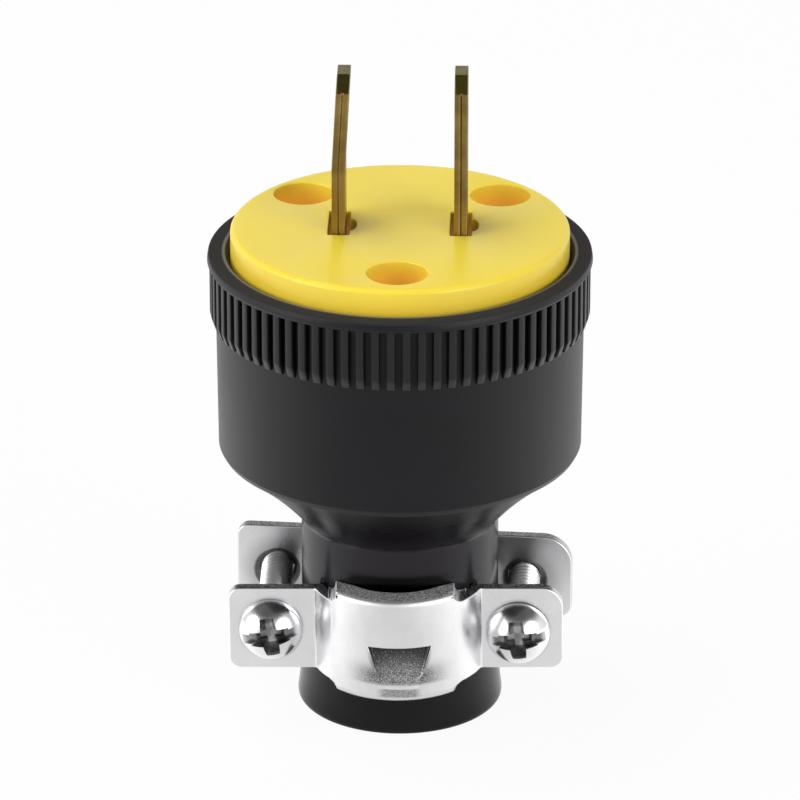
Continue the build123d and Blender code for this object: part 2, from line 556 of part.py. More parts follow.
def make_strap(place, outline):
    """A stamped clamp strap with the given front view, in the strap's own frame until it is placed."""
    neck = place.inverse() * cylinder_up(neck_radius_at(SADDLE_BOTTOM) + BITE_GAP, 0, NECK_HEIGHT)
    strap = strap_sheet(EAR_BOTTOM, EAR_TOP) + saddle_channel(neck)
    strap &= extrude(Plane.XZ * outline, amount=2 * SADDLE_OUTER_RADIUS, both=True)
    backing = tooth_prism(STRAP_THICKNESS) & tooth_slab(0, STRAP_THICKNESS)
    wall_low = SADDLE_BOTTOM + SADDLE_LOW_BEND
    backing &= cylinder_up(SADDLE_OUTER_RADIUS, wall_low, SADDLE_TOP, 0, SADDLE_CENTRE)
    strap += backing - neck
    strap -= tooth_prism(0) & tooth_slab(-STRAP_THICKNESS - SADDLE_BULGE, 0)
    return place * strap


def front_hole(side):
    """The middle of a hole on the front strap's inner face, in the strap's own frame."""
    out, rise = FRONT_HOLES[side]
    return Location((side * out, 0, STRAP_CENTRE_HEIGHT + rise))


def rear_hole(side):
    """The same on the rear strap, which is turned round, for the screw on the plug's given side."""
    out, rise = REAR_HOLES[side]
    return Location((-side * out, 0, STRAP_CENTRE_HEIGHT + rise))


def screw_place(side):
    """Where a clamp screw lies: from the front strap's hole towards the rear strap's hole, head first."""
    front = FRONT_STRAP_PLACE * front_hole(side)
    rear = REAR_STRAP_PLACE * rear_hole(side)
    run = rear.position - front.position
    lean = math.radians(run.get_angle(Vector(0, 1, 0)))
    ahead = STRAP_THICKNESS + CLAMP_HEAD_RADIUS * math.sin(lean) + HEAD_GAP
    start = front.position - run.normalized() * ahead
    return Plane(start, x_dir=(1, 0, 0), z_dir=run).location


def make_clamp_screw(side):
    """Round head machine screw with a slot and a cross recess, built along +Z from under its head."""
    dome_rise = CLAMP_HEAD_HEIGHT - CLAMP_HEAD_RIM
    dome_radius = (CLAMP_HEAD_RADIUS**2 + dome_rise**2) / (2 * dome_rise)
    dome = Pos(0, 0, dome_radius - CLAMP_HEAD_HEIGHT) * Sphere(dome_radius)
    screw = dome & cylinder_up(CLAMP_HEAD_RADIUS, -CLAMP_HEAD_HEIGHT, 0)
    shank = cylinder_up(CLAMP_SCREW_RADIUS, 0, CLAMP_SCREW_LENGTH)
    screw += chamfer(shank.edges().group_by(Axis.Z)[-1], CLAMP_SCREW_POINT)
    head = -CLAMP_HEAD_HEIGHT
    reach = CLAMP_HEAD_RADIUS
    slot_y = (-CLAMP_SLOT_WIDTH / 2, CLAMP_SLOT_WIDTH / 2)
    screw -= block((-reach, reach), slot_y, (head, head + CLAMP_SLOT_DEPTH))
    for length, width in ((2 * CROSS_HALF_LENGTH, CROSS_WIDTH), (CROSS_WIDTH, 2 * CROSS_HALF_LENGTH)):
        screw -= Pos(0, 0, head) * extrude(Rectangle(length, width), amount=CROSS_DEPTH, taper=CROSS_TAPER)
    return screw_place(side) * Rot(0, 0, -CLAMP_SLOT_TILT[side]) * screw


def make_front_strap():
    """The strap under the screw heads, with clearance holes."""
    outline = Pos(FRONT_BLANK_SHIFT, 0) * strap_outline(FRONT_HALF_LENGTH, 1, FRONT_EAR_CLIP)
    strap = make_strap(FRONT_STRAP_PLACE, outline)
    drill = Rot(90, 0, 0) * Cylinder(STRAP_HOLE_RADIUS, 6 * STRAP_THICKNESS)
    for side in (-1, 1):
        strap -= FRONT_STRAP_PLACE * front_hole(side) * drill
    return strap


def make_rear_strap():
    """The strap behind the neck. Its holes are drawn into short tapped collars."""
    outline = Pos(REAR_BLANK_SHIFT, 0) * strap_outline(REAR_HALF_LENGTH, -1, REAR_EAR_CLIP)
    strap = make_strap(REAR_STRAP_PLACE, outline)
    bore = CLAMP_SCREW_RADIUS + THREAD_GAP
    collar = Rot(90, 0, 0) * Cylinder(bore + TAPPED_COLLAR_WALL, TAPPED_COLLAR_LENGTH)
    funnel = Rot(90, 0, 0) * Cone(TAPPED_FUNNEL_RADIUS, TAPPED_FUNNEL_TIP, TAPPED_FUNNEL_DEPTH)
    collar_middle = -STRAP_THICKNESS - TAPPED_COLLAR_LENGTH / 2
    for side in (-1, 1):
        strap += REAR_STRAP_PLACE * rear_hole(side) * Pos(0, collar_middle, 0) * collar
    for side in (-1, 1):
        strap -= REAR_STRAP_PLACE * rear_hole(side) * Pos(0, -TAPPED_FUNNEL_DEPTH / 2, 0) * funnel
        strap -= screw_place(side) * cylinder_up(bore, 0, 1.5 * CLAMP_SCREW_LENGTH)
    return strap


NODES = {
    "rubber_body": make_rubber_body(),
    "face_insert": make_face_insert(),
    "terminal_carrier": make_terminal_carrier(),
    "blade_line": make_blade(-1, LEAN_ANGLE),
    "blade_neutral": make_blade(1, 0),
    "terminal_screw_line": make_terminal_screw(-1),
    "terminal_screw_neutral": make_terminal_screw(1),
    "wire_plate_line": make_wire_plate(-1),
    "wire_plate_neutral": make_wire_plate(1),
    "front_clamp_strap": make_front_strap(),
    "rear_clamp_strap": make_rear_strap(),
    "clamp_screw_left": make_clamp_screw(-1),
    "clamp_screw_right": make_clamp_screw(1),
}
for name, place in WELL_PLACES.items():
    NODES["assembly_screw_" + name] = make_assembly_screw(place)

os.makedirs("parts", exist_ok=True)
for name, solid in NODES.items():
    export_step(solid, "parts/" + name + ".step")
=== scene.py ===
import math

import bmesh
import bpy
from bpy.props import FloatProperty, FloatVectorProperty, IntProperty, PointerProperty
from mathutils import Matrix, Vector


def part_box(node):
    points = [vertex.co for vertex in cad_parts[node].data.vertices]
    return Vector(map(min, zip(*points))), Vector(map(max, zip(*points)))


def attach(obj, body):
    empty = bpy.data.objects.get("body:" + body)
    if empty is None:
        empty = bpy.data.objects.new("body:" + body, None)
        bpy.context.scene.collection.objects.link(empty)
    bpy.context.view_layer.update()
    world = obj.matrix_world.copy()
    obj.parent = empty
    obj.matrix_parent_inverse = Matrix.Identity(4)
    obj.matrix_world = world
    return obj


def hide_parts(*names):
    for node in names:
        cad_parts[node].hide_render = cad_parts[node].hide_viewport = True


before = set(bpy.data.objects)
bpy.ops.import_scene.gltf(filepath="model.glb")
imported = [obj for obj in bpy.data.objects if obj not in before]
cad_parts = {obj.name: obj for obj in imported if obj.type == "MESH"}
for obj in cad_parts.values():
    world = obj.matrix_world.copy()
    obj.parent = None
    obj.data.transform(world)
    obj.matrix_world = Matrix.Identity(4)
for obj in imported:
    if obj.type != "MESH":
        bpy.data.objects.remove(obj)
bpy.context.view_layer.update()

bl_info = {
    "name": "Straight blade plug",
    "version": (1, 0, 0),
    "blender": (4, 5, 0),
    "location": "3D View > Sidebar > Plug",
    "description": "Rubber housing, yellow face, brass blades and a cord clamp over the plug's solids",
    "category": "Object",
}

MM = 0.001
HOUSING_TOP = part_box("rubber_body")[1]
FACE_LOW, FACE_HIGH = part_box("face_insert")
SEAT_RADIUS = FACE_HIGH.x + 0.1 * MM  # inside of the rubber that holds the face


# Properties


def length(name, description, millimetres):
    """A length property, given in millimetres and held in metres."""
    return FloatProperty(
        name=name,
        description=description,
        default=millimetres * MM,
        precision=5,
        unit="LENGTH",
        subtype="DISTANCE",
    )


def turn(name, description, degrees):
    """An angle property, given in degrees."""
    return FloatProperty(
        name=name,
        description=description,
        default=math.radians(degrees),
        subtype="ANGLE",
        unit="ROTATION",
    )


def tint(name, description, colour):
    """A colour property in linear red, green and blue."""
    return FloatVectorProperty(
        name=name,
        description=description,
        default=colour,
        size=3,
        min=0.0,
        max=1.0,
        subtype="COLOR",
    )


class HousingSizes(bpy.types.PropertyGroup):
    neck_radius: length("Neck radius", "Outside of the neck that the clamp grips", 10.45)
    tail_radius: length("Tail radius", "Outside of the neck at the cord end", 10.9)
    tail_edge: length("Tail edge height", "Where the neck starts to narrow above the cord end", 0.8)
    flare_height: length("Flare height", "Where the neck stops widening to the cord end", 7.0)
    neck_height: length("Neck height", "Where the neck meets the sloping underside", 21.3)
    neck_fillet: length("Neck fillet", "Rounding between the neck and the sloping underside", 1.2)
    underside_sag: length("Underside sag", "How far the sloping underside is hollowed", 0.8)
    skirt_radius: length("Skirt radius", "Lower edge of the barrel", 18.8)
    skirt_height: length("Skirt height", "Height of the barrel's lower edge", 29.1)
    skirt_edge: length("Skirt edge", "From the barrel's lower edge up to its plain side", 0.6)
    barrel_radius: length("Barrel radius", "Outside of the plain barrel", 19.2)
    rib_foot: length("Rib foot height", "Where the grip ribs grow out of the barrel", 43.5)
    rib_fade: length("Rib fade", "Height over which a rib reaches its crest", 1.2)
    rib_top: length("Rib top height", "Where the grip ribs run into the lip", 50.0)
    rib_radius: length("Rib radius", "Crest of the grip ribs", 19.9)
    rib_width: length("Rib width", "Width of one grip rib", 0.8)
    rib_edge: length("Rib edge rounding", "Rounding of a rib's crest", 0.23)
    rib_count: IntProperty(name="Ribs", description="Grip ribs round the collar", default=78, min=3)
    rib_turn: turn("Rib turn", "How far the first rib stands from the front", 3.2)
    rim_radius: length("Rim radius", "Upper edge of the rubber lip", 20.0)
    rim_edge: length("Rim edge rounding", "Rounding of the lip's upper edge", 0.22)
    mouth_width: length("Mouth bevel width", "Bevel of the lip's inner edge, outwards", 0.5)
    mouth_drop: length("Mouth bevel drop", "Bevel of the lip's inner edge, downwards", 0.6)
    inner_lip_radius: length("Inner lip radius", "Inside of the lip that the core hooks under", 15.7)
    inner_lip_height: length("Inner lip height", "Height of the lip that the core hooks under", 2.0)
    cavity_radius: length("Cavity radius", "Inside of the barrel", 16.9)
    cavity_floor: length("Cavity floor", "Where the barrel's inside starts to narrow to the bore", 33.5)
    bore_radius: length("Cord bore radius", "Inside of the cord entry", 6.0)
    bore_length: length("Cord bore length", "From the cord end to the wiring space", 20.0)


class FaceSizes(bpy.types.PropertyGroup):
    edge: length("Edge rounding", "Rounding of the disc's upper edge", 0.55)
    well_radius: length("Well radius", "Radius of the three screw wells", 3.15)
    well_depth: length("Well depth", "From the face to the floor of a well", 6.2)
    screw_hole: length("Screw hole radius", "Radius of the hole in a well's floor", 1.55)
    slot_spacing: length("Slot spacing", "From one blade slot to the other", 12.7)
    slot_width: length("Slot width", "Across a blade slot", 2.2)
    slot_length: length("Slot length", "Along a blade slot", 6.6)
    slot_shift: length("Slot shift", "From the axis back to the middle of the slots", 0.7)
    slot_corner: length("Slot corner", "Rounding of a slot's corners", 0.12)
    notch_depth: length("Notch depth", "How far a slot's notch goes beyond its side", 0.72)
    notch_length: length("Notch length", "Along a slot's notch", 3.4)
    notch_shift: length("Notch shift", "From a slot's middle forward to its notch", 0.35)
    mouth_edge: length("Mouth rounding", "Rounding of the wells' and slots' mouths", 0.16)


class BladeSizes(bpy.types.PropertyGroup):
    edge: length("Edge rounding", "Rounding of a blade's cut edges", 0.12)


class ClampSizes(bpy.types.PropertyGroup):
    edge: length("Edge rounding", "Rounding of the stamped edges", 0.16)
    head_radius: length("Head radius", "Radius of a clamp screw's head", 3.4)
    head_height: length("Head height", "Height of a clamp screw's head", 2.75)
    head_rim: length("Head rim", "Height of the upright rim of a head", 0.55)
    slot_width: length("Slot width", "Across the slot of a head", 1.05)
    slot_depth: length("Slot depth", "Depth of the slot of a head", 1.45)
    cross_reach: length("Cross reach", "Half length of the cross recess where it meets the dome", 2.15)
    cross_width: length("Cross width", "Across an arm of the cross recess where it meets the dome", 1.45)
    cross_depth: length("Cross depth", "Depth of the cross recess", 1.9)
    shank_radius: length("Shank radius", "Crest of the thread", 1.725)
    shank_length: length("Shank length", "From under the head to the tip", 19.0)
    thread_pitch: length("Thread pitch", "From one thread to the next", 0.794)
    thread_depth: length("Thread depth", "From crest to root", 0.3)
    left_slot_turn: turn("Left slot turn", "How far the left screw's slot is turned", 10.5)
    right_slot_turn: turn("Right slot turn", "How far the right screw's slot is turned", 6.5)


class PlugColours(bpy.types.PropertyGroup):
    rubber: tint("Rubber", "Black rubber of the housing", (0.0065, 0.0055, 0.007))
    rim: tint("Rim", "Dull top of the rubber lip", (0.024, 0.023, 0.024))
    # Painted highlight: a pale line round the mouth of the lip.
    mouth_highlight: tint("Mouth highlight", "Pale line round the mouth of the lip", (0.14, 0.14, 0.14))
    # Painted highlight on the feet and crests of the grip ribs.
    rib_highlight: tint("Rib highlight", "Feet and crests of the grip ribs", (0.026, 0.025, 0.026))
    face: tint("Face", "Yellow plastic of the face", (0.83, 0.65, 0.055))
    # Painted shade: deeper orange for the plastic down in the wells and slots.
    face_well_shade: tint("Face well shade", "Yellow plastic down in the wells and slots", (0.98, 0.57, 0.03))
    face_glow: tint("Face glow", "Light that comes through into the wells and slots", (0.1, 0.06, 0.02))
    brass: tint("Brass", "Brass of the blades", (0.27, 0.185, 0.055))
    tarnish: tint("Tarnish", "Dulled brass of the blades", (0.15, 0.1, 0.03))
    # Olive tips: partly the brass's own colour, partly painted shade on the up-facing ends.
    blade_tip: tint("Blade tip", "Brass of the blades' tips", (0.2, 0.17, 0.035))
    zinc: tint("Zinc", "Bright plating of the clamp straps", (0.8, 0.8, 0.81))
    # Painted shade in and round the pressed tooth.
    tooth_shade_colour: tint("Tooth shade", "Painted shade on the plating round the pressed tooth", (0.03, 0.03, 0.03))
    plating: tint("Plating", "Bright plating of the screws", (0.8, 0.8, 0.81))
    # Painted shade in the screws' recesses.
    recess: tint("Recess", "Painted shade in the screws' recesses", (0.1, 0.1, 0.1))
    carrier: tint("Carrier", "Black plastic inside the housing", (0.03, 0.03, 0.03))
    backdrop: tint("Backdrop", "Floor and surroundings", (1.0, 1.0, 1.0))


class PlugSettings(bpy.types.PropertyGroup):
    housing: PointerProperty(type=HousingSizes)
    face: PointerProperty(type=FaceSizes)
    blades: PointerProperty(type=BladeSizes)
    clamp: PointerProperty(type=ClampSizes)
    colours: PointerProperty(type=PlugColours)


# Nodes


class Value:
    """A socket in an expression. Sums and products of it and numbers become Math nodes."""

    def __init__(self, nodes, socket):
        self.nodes = nodes
        self.socket = socket

    def math(self, operation, first, second=0.0):
        return self.nodes.node("ShaderNodeMath", {"operation": operation}, {0: first, 1: second})

    def __add__(self, other):
        return self.math("ADD", self, other)

    def __radd__(self, other):
        return self.math("ADD", other, self)

    def __sub__(self, other):
        return self.math("SUBTRACT", self, other)

    def __rsub__(self, other):
        return self.math("SUBTRACT", other, self)

    def __mul__(self, other):
        return self.math("MULTIPLY", self, other)

    def __rmul__(self, other):
        return self.math("MULTIPLY", other, self)

    def __truediv__(self, other):
        return self.math("DIVIDE", self, other)

    def __pow__(self, other):
        return self.math("POWER", self, other)

    def __gt__(self, other):
        return self.math("GREATER_THAN", self, other)

    def __lt__(self, other):
        return self.math("LESS_THAN", self, other)

    def __abs__(self):
        return self.math("ABSOLUTE", self)

    def larger(self, other):
        """The larger of two values."""
        return self.math("MAXIMUM", self, other)

    def smaller(self, other):
        """The smaller of two values."""
        return self.math("MINIMUM", self, other)


class Nodes:
    """A node tree that is filled one node at a time."""

    def __init__(self, tree):
        self.tree = tree

    def node(self, kind, settings=None, inputs=None, output=0):
        """Adds a node: its settings first, then the values or links of its sockets."""
        made = self.tree.nodes.new(kind)
        for name, value in (settings or {}).items():
            setattr(made, name, value)
        for name, value in (inputs or {}).items():
            self.feed(made.inputs[name], value)
        return Value(self, made.outputs[output])

    def feed(self, socket, value):
        """Links a value to a socket, or sets the socket to a number or colour."""
        if isinstance(value, Value):
            self.tree.links.new(value.socket, socket)
        else:
            socket.default_value = value

    def ease(self, value, low, high):
        """0 below low, 1 above high and smooth between."""
        settings = {"interpolation_type": "SMOOTHSTEP"}
        inputs = {"Value": value, "From Min": low, "From Max": high, "To Min": 0.0, "To Max": 1.0}
        return self.node("ShaderNodeMapRange", settings, inputs)

    def fade(self, value, low, high):
        """1 below low, 0 above high and smooth between."""
        return 1.0 - self.ease(value, low, high)

    def part(self, vector, axis):
        """The X, Y or Z part of a vector."""
        return self.node("ShaderNodeSeparateXYZ", None, {"Vector": vector}, output=axis)

    def sideways(self, direction):
        """0 straight in front or behind and 1 straight to the left or right."""
        x, y = self.part(direction, "X"), self.part(direction, "Y")
        share = x * x / (x * x + y * y + 0.0001)
        return share * share

    def ray(self, kind):
        """1 for a Camera or Glossy ray and 0 for the others."""
        return self.node("ShaderNodeLightPath", output=f"Is {kind} Ray")


class Surroundings(Nodes):
    """The world's nodes."""

    def __init__(self, world):
        super().__init__(world.node_tree)
        self.background = self.tree.nodes["Background"]


class Finish(Nodes):
    """A procedural material. Its Principled shader's own sockets hold what is the same all over."""

    def __init__(self, name, **constants):
        self.material = bpy.data.materials.new(name)
        self.material.use_nodes = True
        super().__init__(self.material.node_tree)
        self.shader = self.tree.nodes["Principled BSDF"]
        for socket, value in constants.items():
            self.shader.inputs[socket.replace("_", " ")].default_value = value

    def paint(self, socket, value):
        """Feeds one of the shader's sockets."""
        self.feed(self.shader.inputs[socket], value)

    def place(self):
        """Where a point of the piece is, in metres."""
        return self.node("ShaderNodeTexCoord", output="Object")

    def along(self, axis):
        """Where a point is along X, Y or Z, in metres."""
        return self.part(self.place(), axis)

    def height(self):
        """Height of a point above the floor, in metres."""
        return self.along("Z")

    def from_axis(self):
        """How far a point is from the plug's axis, in metres."""
        x, y = self.along("X"), self.along("Y")
        return (x * x + y * y) ** 0.5

    def from_hole(self, x, z):
        """How far a point is from a line that runs along Y through (x, z), in metres."""
        across, up = self.along("X") - x, self.height() - z
        return (across * across + up * up) ** 0.5

    def from_point(self, point):
        """How far a point of the piece is from another point, in metres."""
        settings = {"operation": "DISTANCE"}
        return self.node("ShaderNodeVectorMath", settings, {0: self.place(), 1: point}, output="Value")

    def noise(self, scale, detail=3.0, roughness=0.5, stretch=None):
        """Noise of about one patch per 1/scale metres, from 0 to 1, stretched along an axis if asked."""
        place = self.place()
        if stretch:
            place = self.node("ShaderNodeMapping", None, {"Vector": place, "Scale": stretch})
        settings = {"noise_dimensions": "3D", "normalize": True}
        inputs = {"Vector": place, "Scale": scale, "Detail": detail, "Roughness": roughness}
        return self.node("ShaderNodeTexNoise", settings, inputs)

    def blend(self, mask, low, high):
        """One colour where the mask is 0 and the other where it is 1."""
        settings = {"data_type": "RGBA", "clamp_factor": True}
        return self.node("ShaderNodeMix", settings, {0: mask, 6: low, 7: high}, output=2)

    def bump(self, height, strength, distance):
        """Raises the surface by a height map of 0 to 1, distance metres high."""
        inputs = {"Height": height, "Strength": strength, "Distance": distance}
        self.paint("Normal", self.node("ShaderNodeBump", None, inputs))

    def glow(self, colour, strength):
        """A surface that only gives off light."""
        return self.node("ShaderNodeEmission", None, {"Color": colour, "Strength": strength})

    def mixed(self, mask, low, high):
        """One surface where the mask is 0 and the other where it is 1."""
        return self.node("ShaderNodeMixShader", None, {0: mask, 1: low, 2: high})


def rgba(colour, gain=1.0):
    """A property's colour as the four numbers that a socket takes, made lighter or darker by gain."""
    return (*(min(1.0, part * gain) for part in colour), 1.0)


def grey(level):
    """An even grey as the four numbers that a socket takes."""
    return (level, level, level, 1.0)


BLACK = grey(0.0)


# Finishes


def rubber_finish(colours, size):
    """Satin moulded rubber, smoother on the neck than on the barrel, with painted sheen, highlights and
    shade.
    """
    finish = Finish("black_rubber", Specular_IOR_Level=0.22)
    grain = finish.noise(2600, 4.0, 0.6)
    cloud = finish.noise(130, 3.0, 0.5)
    height = finish.height()
    underside = size.neck_height
    neck_sheen = finish.ease(height, 8 * MM, 15 * MM) * finish.fade(height, underside, underside + 3 * MM)
    on_barrel = finish.ease(height, underside + 1 * MM, size.skirt_height)
    on_rim = finish.ease(height, HOUSING_TOP.z - 0.3 * MM, HOUSING_TOP.z)
    # Painted shade near the floor: the cord end is made darker.
    cord_end_shade = finish.fade(height, 5 * MM, 8 * MM)

    tone = finish.blend(cloud, rgba(colours.rubber, 0.85), rgba(colours.rubber, 1.15))
    # Painted sheen: the neck's rubber is made lighter than the barrel's.
    tone = finish.blend(neck_sheen, tone, rgba(colours.rubber, 2.2))
    tone = finish.blend(on_rim, tone, rgba(colours.rim))
    tone = mouth_highlight_and_shade(finish, tone, on_rim, colours)
    tone = rib_highlights_and_shade(finish, tone, colours, size)
    tone = finish.blend(strap_shade(finish), tone, BLACK)
    # The cord end gets its painted shade here.
    finish.paint("Base Color", finish.blend(cord_end_shade, tone, rgba(colours.rubber, 0.3)))
    finish.paint("Roughness", 0.22 + on_barrel * 0.14 + (cloud - 0.5) * 0.1 + on_rim * 0.45)
    finish.bump(grain, 0.25, 0.02 * MM)
    return finish.material


def mouth_highlight_and_shade(finish, tone, on_rim, colours):
    """A painted highlight on the rim round the lip's mouth, and painted shade in the gap between the lip's
    mouth and the face.
    """
    height, out = finish.height(), finish.from_axis()
    from_mouth_highlight = abs(out - (SEAT_RADIUS + 0.6 * MM))
    # Painted highlight on the mouth's rounded edge, and painted shade in the gap below it.
    mouth_highlight = on_rim * finish.fade(from_mouth_highlight, 0.06 * MM, 0.28 * MM)
    mouth_gap_shade = (height > HOUSING_TOP.z - 0.7 * MM) * (out < SEAT_RADIUS + 0.4 * MM)
    return finish.blend(mouth_gap_shade, finish.blend(mouth_highlight, tone, rgba(colours.mouth_highlight)), BLACK)


def rib_highlights_and_shade(finish, tone, colours, size):
    """Painted shade in the grooves between the grip ribs, and painted highlights on the ribs' feet and
    crests.
    """
    height, out = finish.height(), finish.from_axis()
    barrel, foot, crest = size.barrel_radius, size.rib_foot, size.rib_radius
    below_lip = height < size.rib_top
    in_groove = finish.fade(out, barrel + 0.12 * MM, barrel + 0.4 * MM)
    groove_shade = (height > foot + 0.4 * MM) * below_lip * in_groove
    raised = finish.ease(out, barrel + 0.12 * MM, barrel + 0.35 * MM)
    low_down = (height > foot - 0.3 * MM) * finish.fade(height, foot + 0.5 * MM, foot + 1.3 * MM)
    on_crest = finish.ease(out, crest - 0.3 * MM, crest - 0.05 * MM) * below_lip
    # Painted shade in the grooves, then painted highlights on the rib feet and crests.
    tone = finish.blend(groove_shade, tone, BLACK)
    return finish.blend(raised * low_down + on_crest * 0.27, tone, rgba(colours.rib_highlight))


def strap_shade(finish):
    """Mask of the neck's darkest part, right above the middle of the clamp's saddles."""
    height, across = finish.height(), finish.along("X")
    above_saddle = (height > 16.5 * MM) * finish.fade(height, 17.9 * MM, 18.6 * MM)
    return above_saddle * finish.fade(across * across, (4.4 * MM) ** 2, (6.0 * MM) ** 2)


def face_finish(colours):
    """Yellow moulded plastic, with painted shade that makes it deeper orange down in its wells and slots
    and low on its walls.
    """
    finish = Finish(
        "yellow_face",
        Specular_IOR_Level=0.4,
        Subsurface_Weight=0.25,
        Subsurface_Radius=(1.0, 0.45, 0.1),
        Subsurface_Scale=1.5 * MM,
        Emission_Strength=1.0,
    )
    top, edge = FACE_HIGH.z, FACE_HIGH.x
    cloud = finish.noise(160, 2.0, 0.5)
    low_down = finish.fade(finish.height(), top - 2.4 * MM, top - 0.1 * MM)
    in_well = low_down * finish.fade(finish.from_axis(), edge - 0.8 * MM, edge - 0.4 * MM)
    tone = finish.blend(cloud, rgba(colours.face, 0.97), rgba(colours.face, 1.02))
    # Painted shade: deeper orange in the wells, and a little on every wall below the top.
    deep = in_well * 0.7 + low_down * 0.3
    finish.paint("Base Color", finish.blend(deep, tone, rgba(colours.face_well_shade)))
    finish.paint("Roughness", 0.3 + (cloud - 0.5) * 0.08)
    finish.paint("Emission Color", finish.blend(in_well, BLACK, rgba(colours.face_glow)))
    finish.bump(finish.noise(900, 3.0, 0.5), 0.12, 0.03 * MM)
    return finish.material


def brass_finish(colours):
    """Drawn brass strip with lengthwise marks and a little tarnish."""
    finish = Finish("blade_brass", Metallic=1.0)
    cloud = finish.noise(240, 4.0, 0.6)
    drawn = finish.noise(3000, 2.0, 0.5, stretch=(1.0, 1.0, 0.03))
    tarnish = finish.ease(cloud, 0.35, 0.65)
    at_foot = finish.fade(finish.height(), FACE_HIGH.z, FACE_HIGH.z + 5.0 * MM)
    # The tips' olive is partly painted shade on their up-facing ends.
    at_tip = finish.ease(finish.height(), HOUSING_TOP.z + 18.0 * MM, HOUSING_TOP.z + 18.6 * MM)
    tone = finish.blend(tarnish, rgba(colours.brass), rgba(colours.tarnish))
    tone = finish.blend(at_foot * 0.5, tone, rgba(colours.brass, 1.5))
    tone = finish.blend(drawn * 0.3, tone, rgba(colours.brass, 1.3))
    finish.paint("Base Color", finish.blend(at_tip, tone, rgba(colours.blade_tip)))
    finish.paint("Roughness", 0.3 + tarnish * 0.12 + (drawn - 0.5) * 0.1)
    finish.bump(drawn, 0.3, 0.015 * MM)
    return finish.material


TOOTH_MIDDLE = 0.25 * MM  # across, from the plug's axis
TOOTH_FOOT = 7.15 * MM  # height of the pressed tooth's lower end
TOOTH_TOP = 11.56 * MM  # height of the edge that it is sheared off at
REAR_HOLES = ((-13.4 * MM, 10.74 * MM), (13.34 * MM, 10.73 * MM))  # across and up


def tooth_shade_mask(finish):
    """Mask of painted shade, with grainy specks, in the pressed tooth and on the saddle round it."""
    height = finish.height()
    across = abs(finish.along("X") - TOOTH_MIDDLE)
    rise = finish.ease(height, TOOTH_FOOT + 0.05 * MM, TOOTH_TOP - 0.36 * MM)
    side = finish.fade(across, 2.1 * MM + rise * (0.7 * MM), 3.1 * MM + rise * (0.4 * MM))
    on_tooth = finish.ease(height, TOOTH_FOOT, TOOTH_FOOT + 0.3 * MM) * (height < TOOTH_TOP) * side
    on_bend = finish.ease(height, 5.7 * MM, 6.1 * MM) * (height < 6.85 * MM)
    below = on_bend * finish.fade(across, 1.4 * MM, 2.6 * MM)
    above_bend = finish.ease(height, TOOTH_FOOT, TOOTH_FOOT + 0.45 * MM)
    low_down = above_bend * finish.fade(height, 8.4 * MM, 10.2 * MM)
    beside = low_down * finish.fade(across, 2.2 * MM, 6.0 * MM) * 0.72
    specks = finish.ease(finish.noise(7500, 3.0, 0.6) + rise * 0.2, 0.36, 0.64)
    pressed = on_tooth * (0.64 + rise * 0.15) + below * 0.6
    return pressed.larger(beside) * (0.5 + specks * 0.5) * 1.25


def plate_tones_and_shade(finish, cloud, behind, colours):
    """Bright zinc with faint smudges, and painted shade on the rear strap and round its drawn holes."""
    smudges = finish.noise(1100, 5.0, 0.65)
    left_hole, right_hole = (finish.from_hole(x, z) for x, z in REAR_HOLES)
    from_hole = left_hole.smaller(right_hole) + (cloud - 0.5) * 1.2 * MM
    # Painted shade round the rear strap's drawn holes.
    drawn = behind * finish.fade(from_hole, 2.3 * MM, 4.6 * MM)
    plate = finish.blend(cloud * 0.6 + smudges * 0.4, rgba(colours.zinc, 0.84), rgba(colours.zinc, 1.07))
    # Painted shade: the rear strap is made darker than the front one.
    plate = finish.blend(behind, plate, rgba(colours.zinc, 0.8))
    return finish.blend(drawn * 0.62, plate, rgba(colours.zinc, 0.3))


def torn_tones(finish, grain, behind):
    """Grainy grey of sheared edges: dark on the front ears, paler on the saddle, and paler on the rear
    strap as painted highlight.
    """
    across = finish.along("X")
    on_saddle = finish.fade(across * across, (5.5 * MM) ** 2, (7.0 * MM) ** 2)
    dark = finish.blend(finish.ease(grain, 0.4, 0.6), grey(0.04), grey(0.3))
    pale = finish.blend(finish.ease(grain, 0.38, 0.62), grey(0.27), grey(0.7))
    # On the rear strap the paler grey is painted highlight on the edges.
    return finish.blend(on_saddle.larger(behind), dark, pale)


def zinc_finish(colours):
    """Bright zinc plating on stamped sheet, darker and grainy on its sheared edges, with painted shade
    round the pressed tooth, on the rear strap and round its holes.
    """
    finish = Finish("strap_zinc", Metallic=1.0)
    cloud = finish.noise(300, 4.0, 0.6)
    grain = finish.noise(4200, 3.0, 0.6)
    facing_up = finish.part(finish.node("ShaderNodeNewGeometry", output="Normal"), "Z")
    sheared = finish.ease(facing_up * facing_up, 0.6, 0.95)
    behind = finish.ease(finish.along("Y"), 0.0, 2 * MM)
    at_bend = finish.ease(finish.height(), 16.0 * MM, 16.6 * MM)
    tooth_shaded = tooth_shade_mask(finish)
    # Painted shade in and round the pressed tooth.
    plate_with_tooth_shade = finish.blend(tooth_shaded, plate_tones_and_shade(finish, cloud, behind, colours), rgba(colours.tooth_shade_colour))
    finish.paint("Base Color", finish.blend(sheared, plate_with_tooth_shade, torn_tones(finish, grain, behind)))
    rough = 0.3 + (cloud - 0.5) * 0.16 + sheared * 0.3 + tooth_shaded * 0.2 + at_bend * 0.14
    finish.paint("Roughness", rough)
    finish.bump(cloud * 0.8 + grain * 0.2, 0.35, 0.05 * MM)
    return finish.material


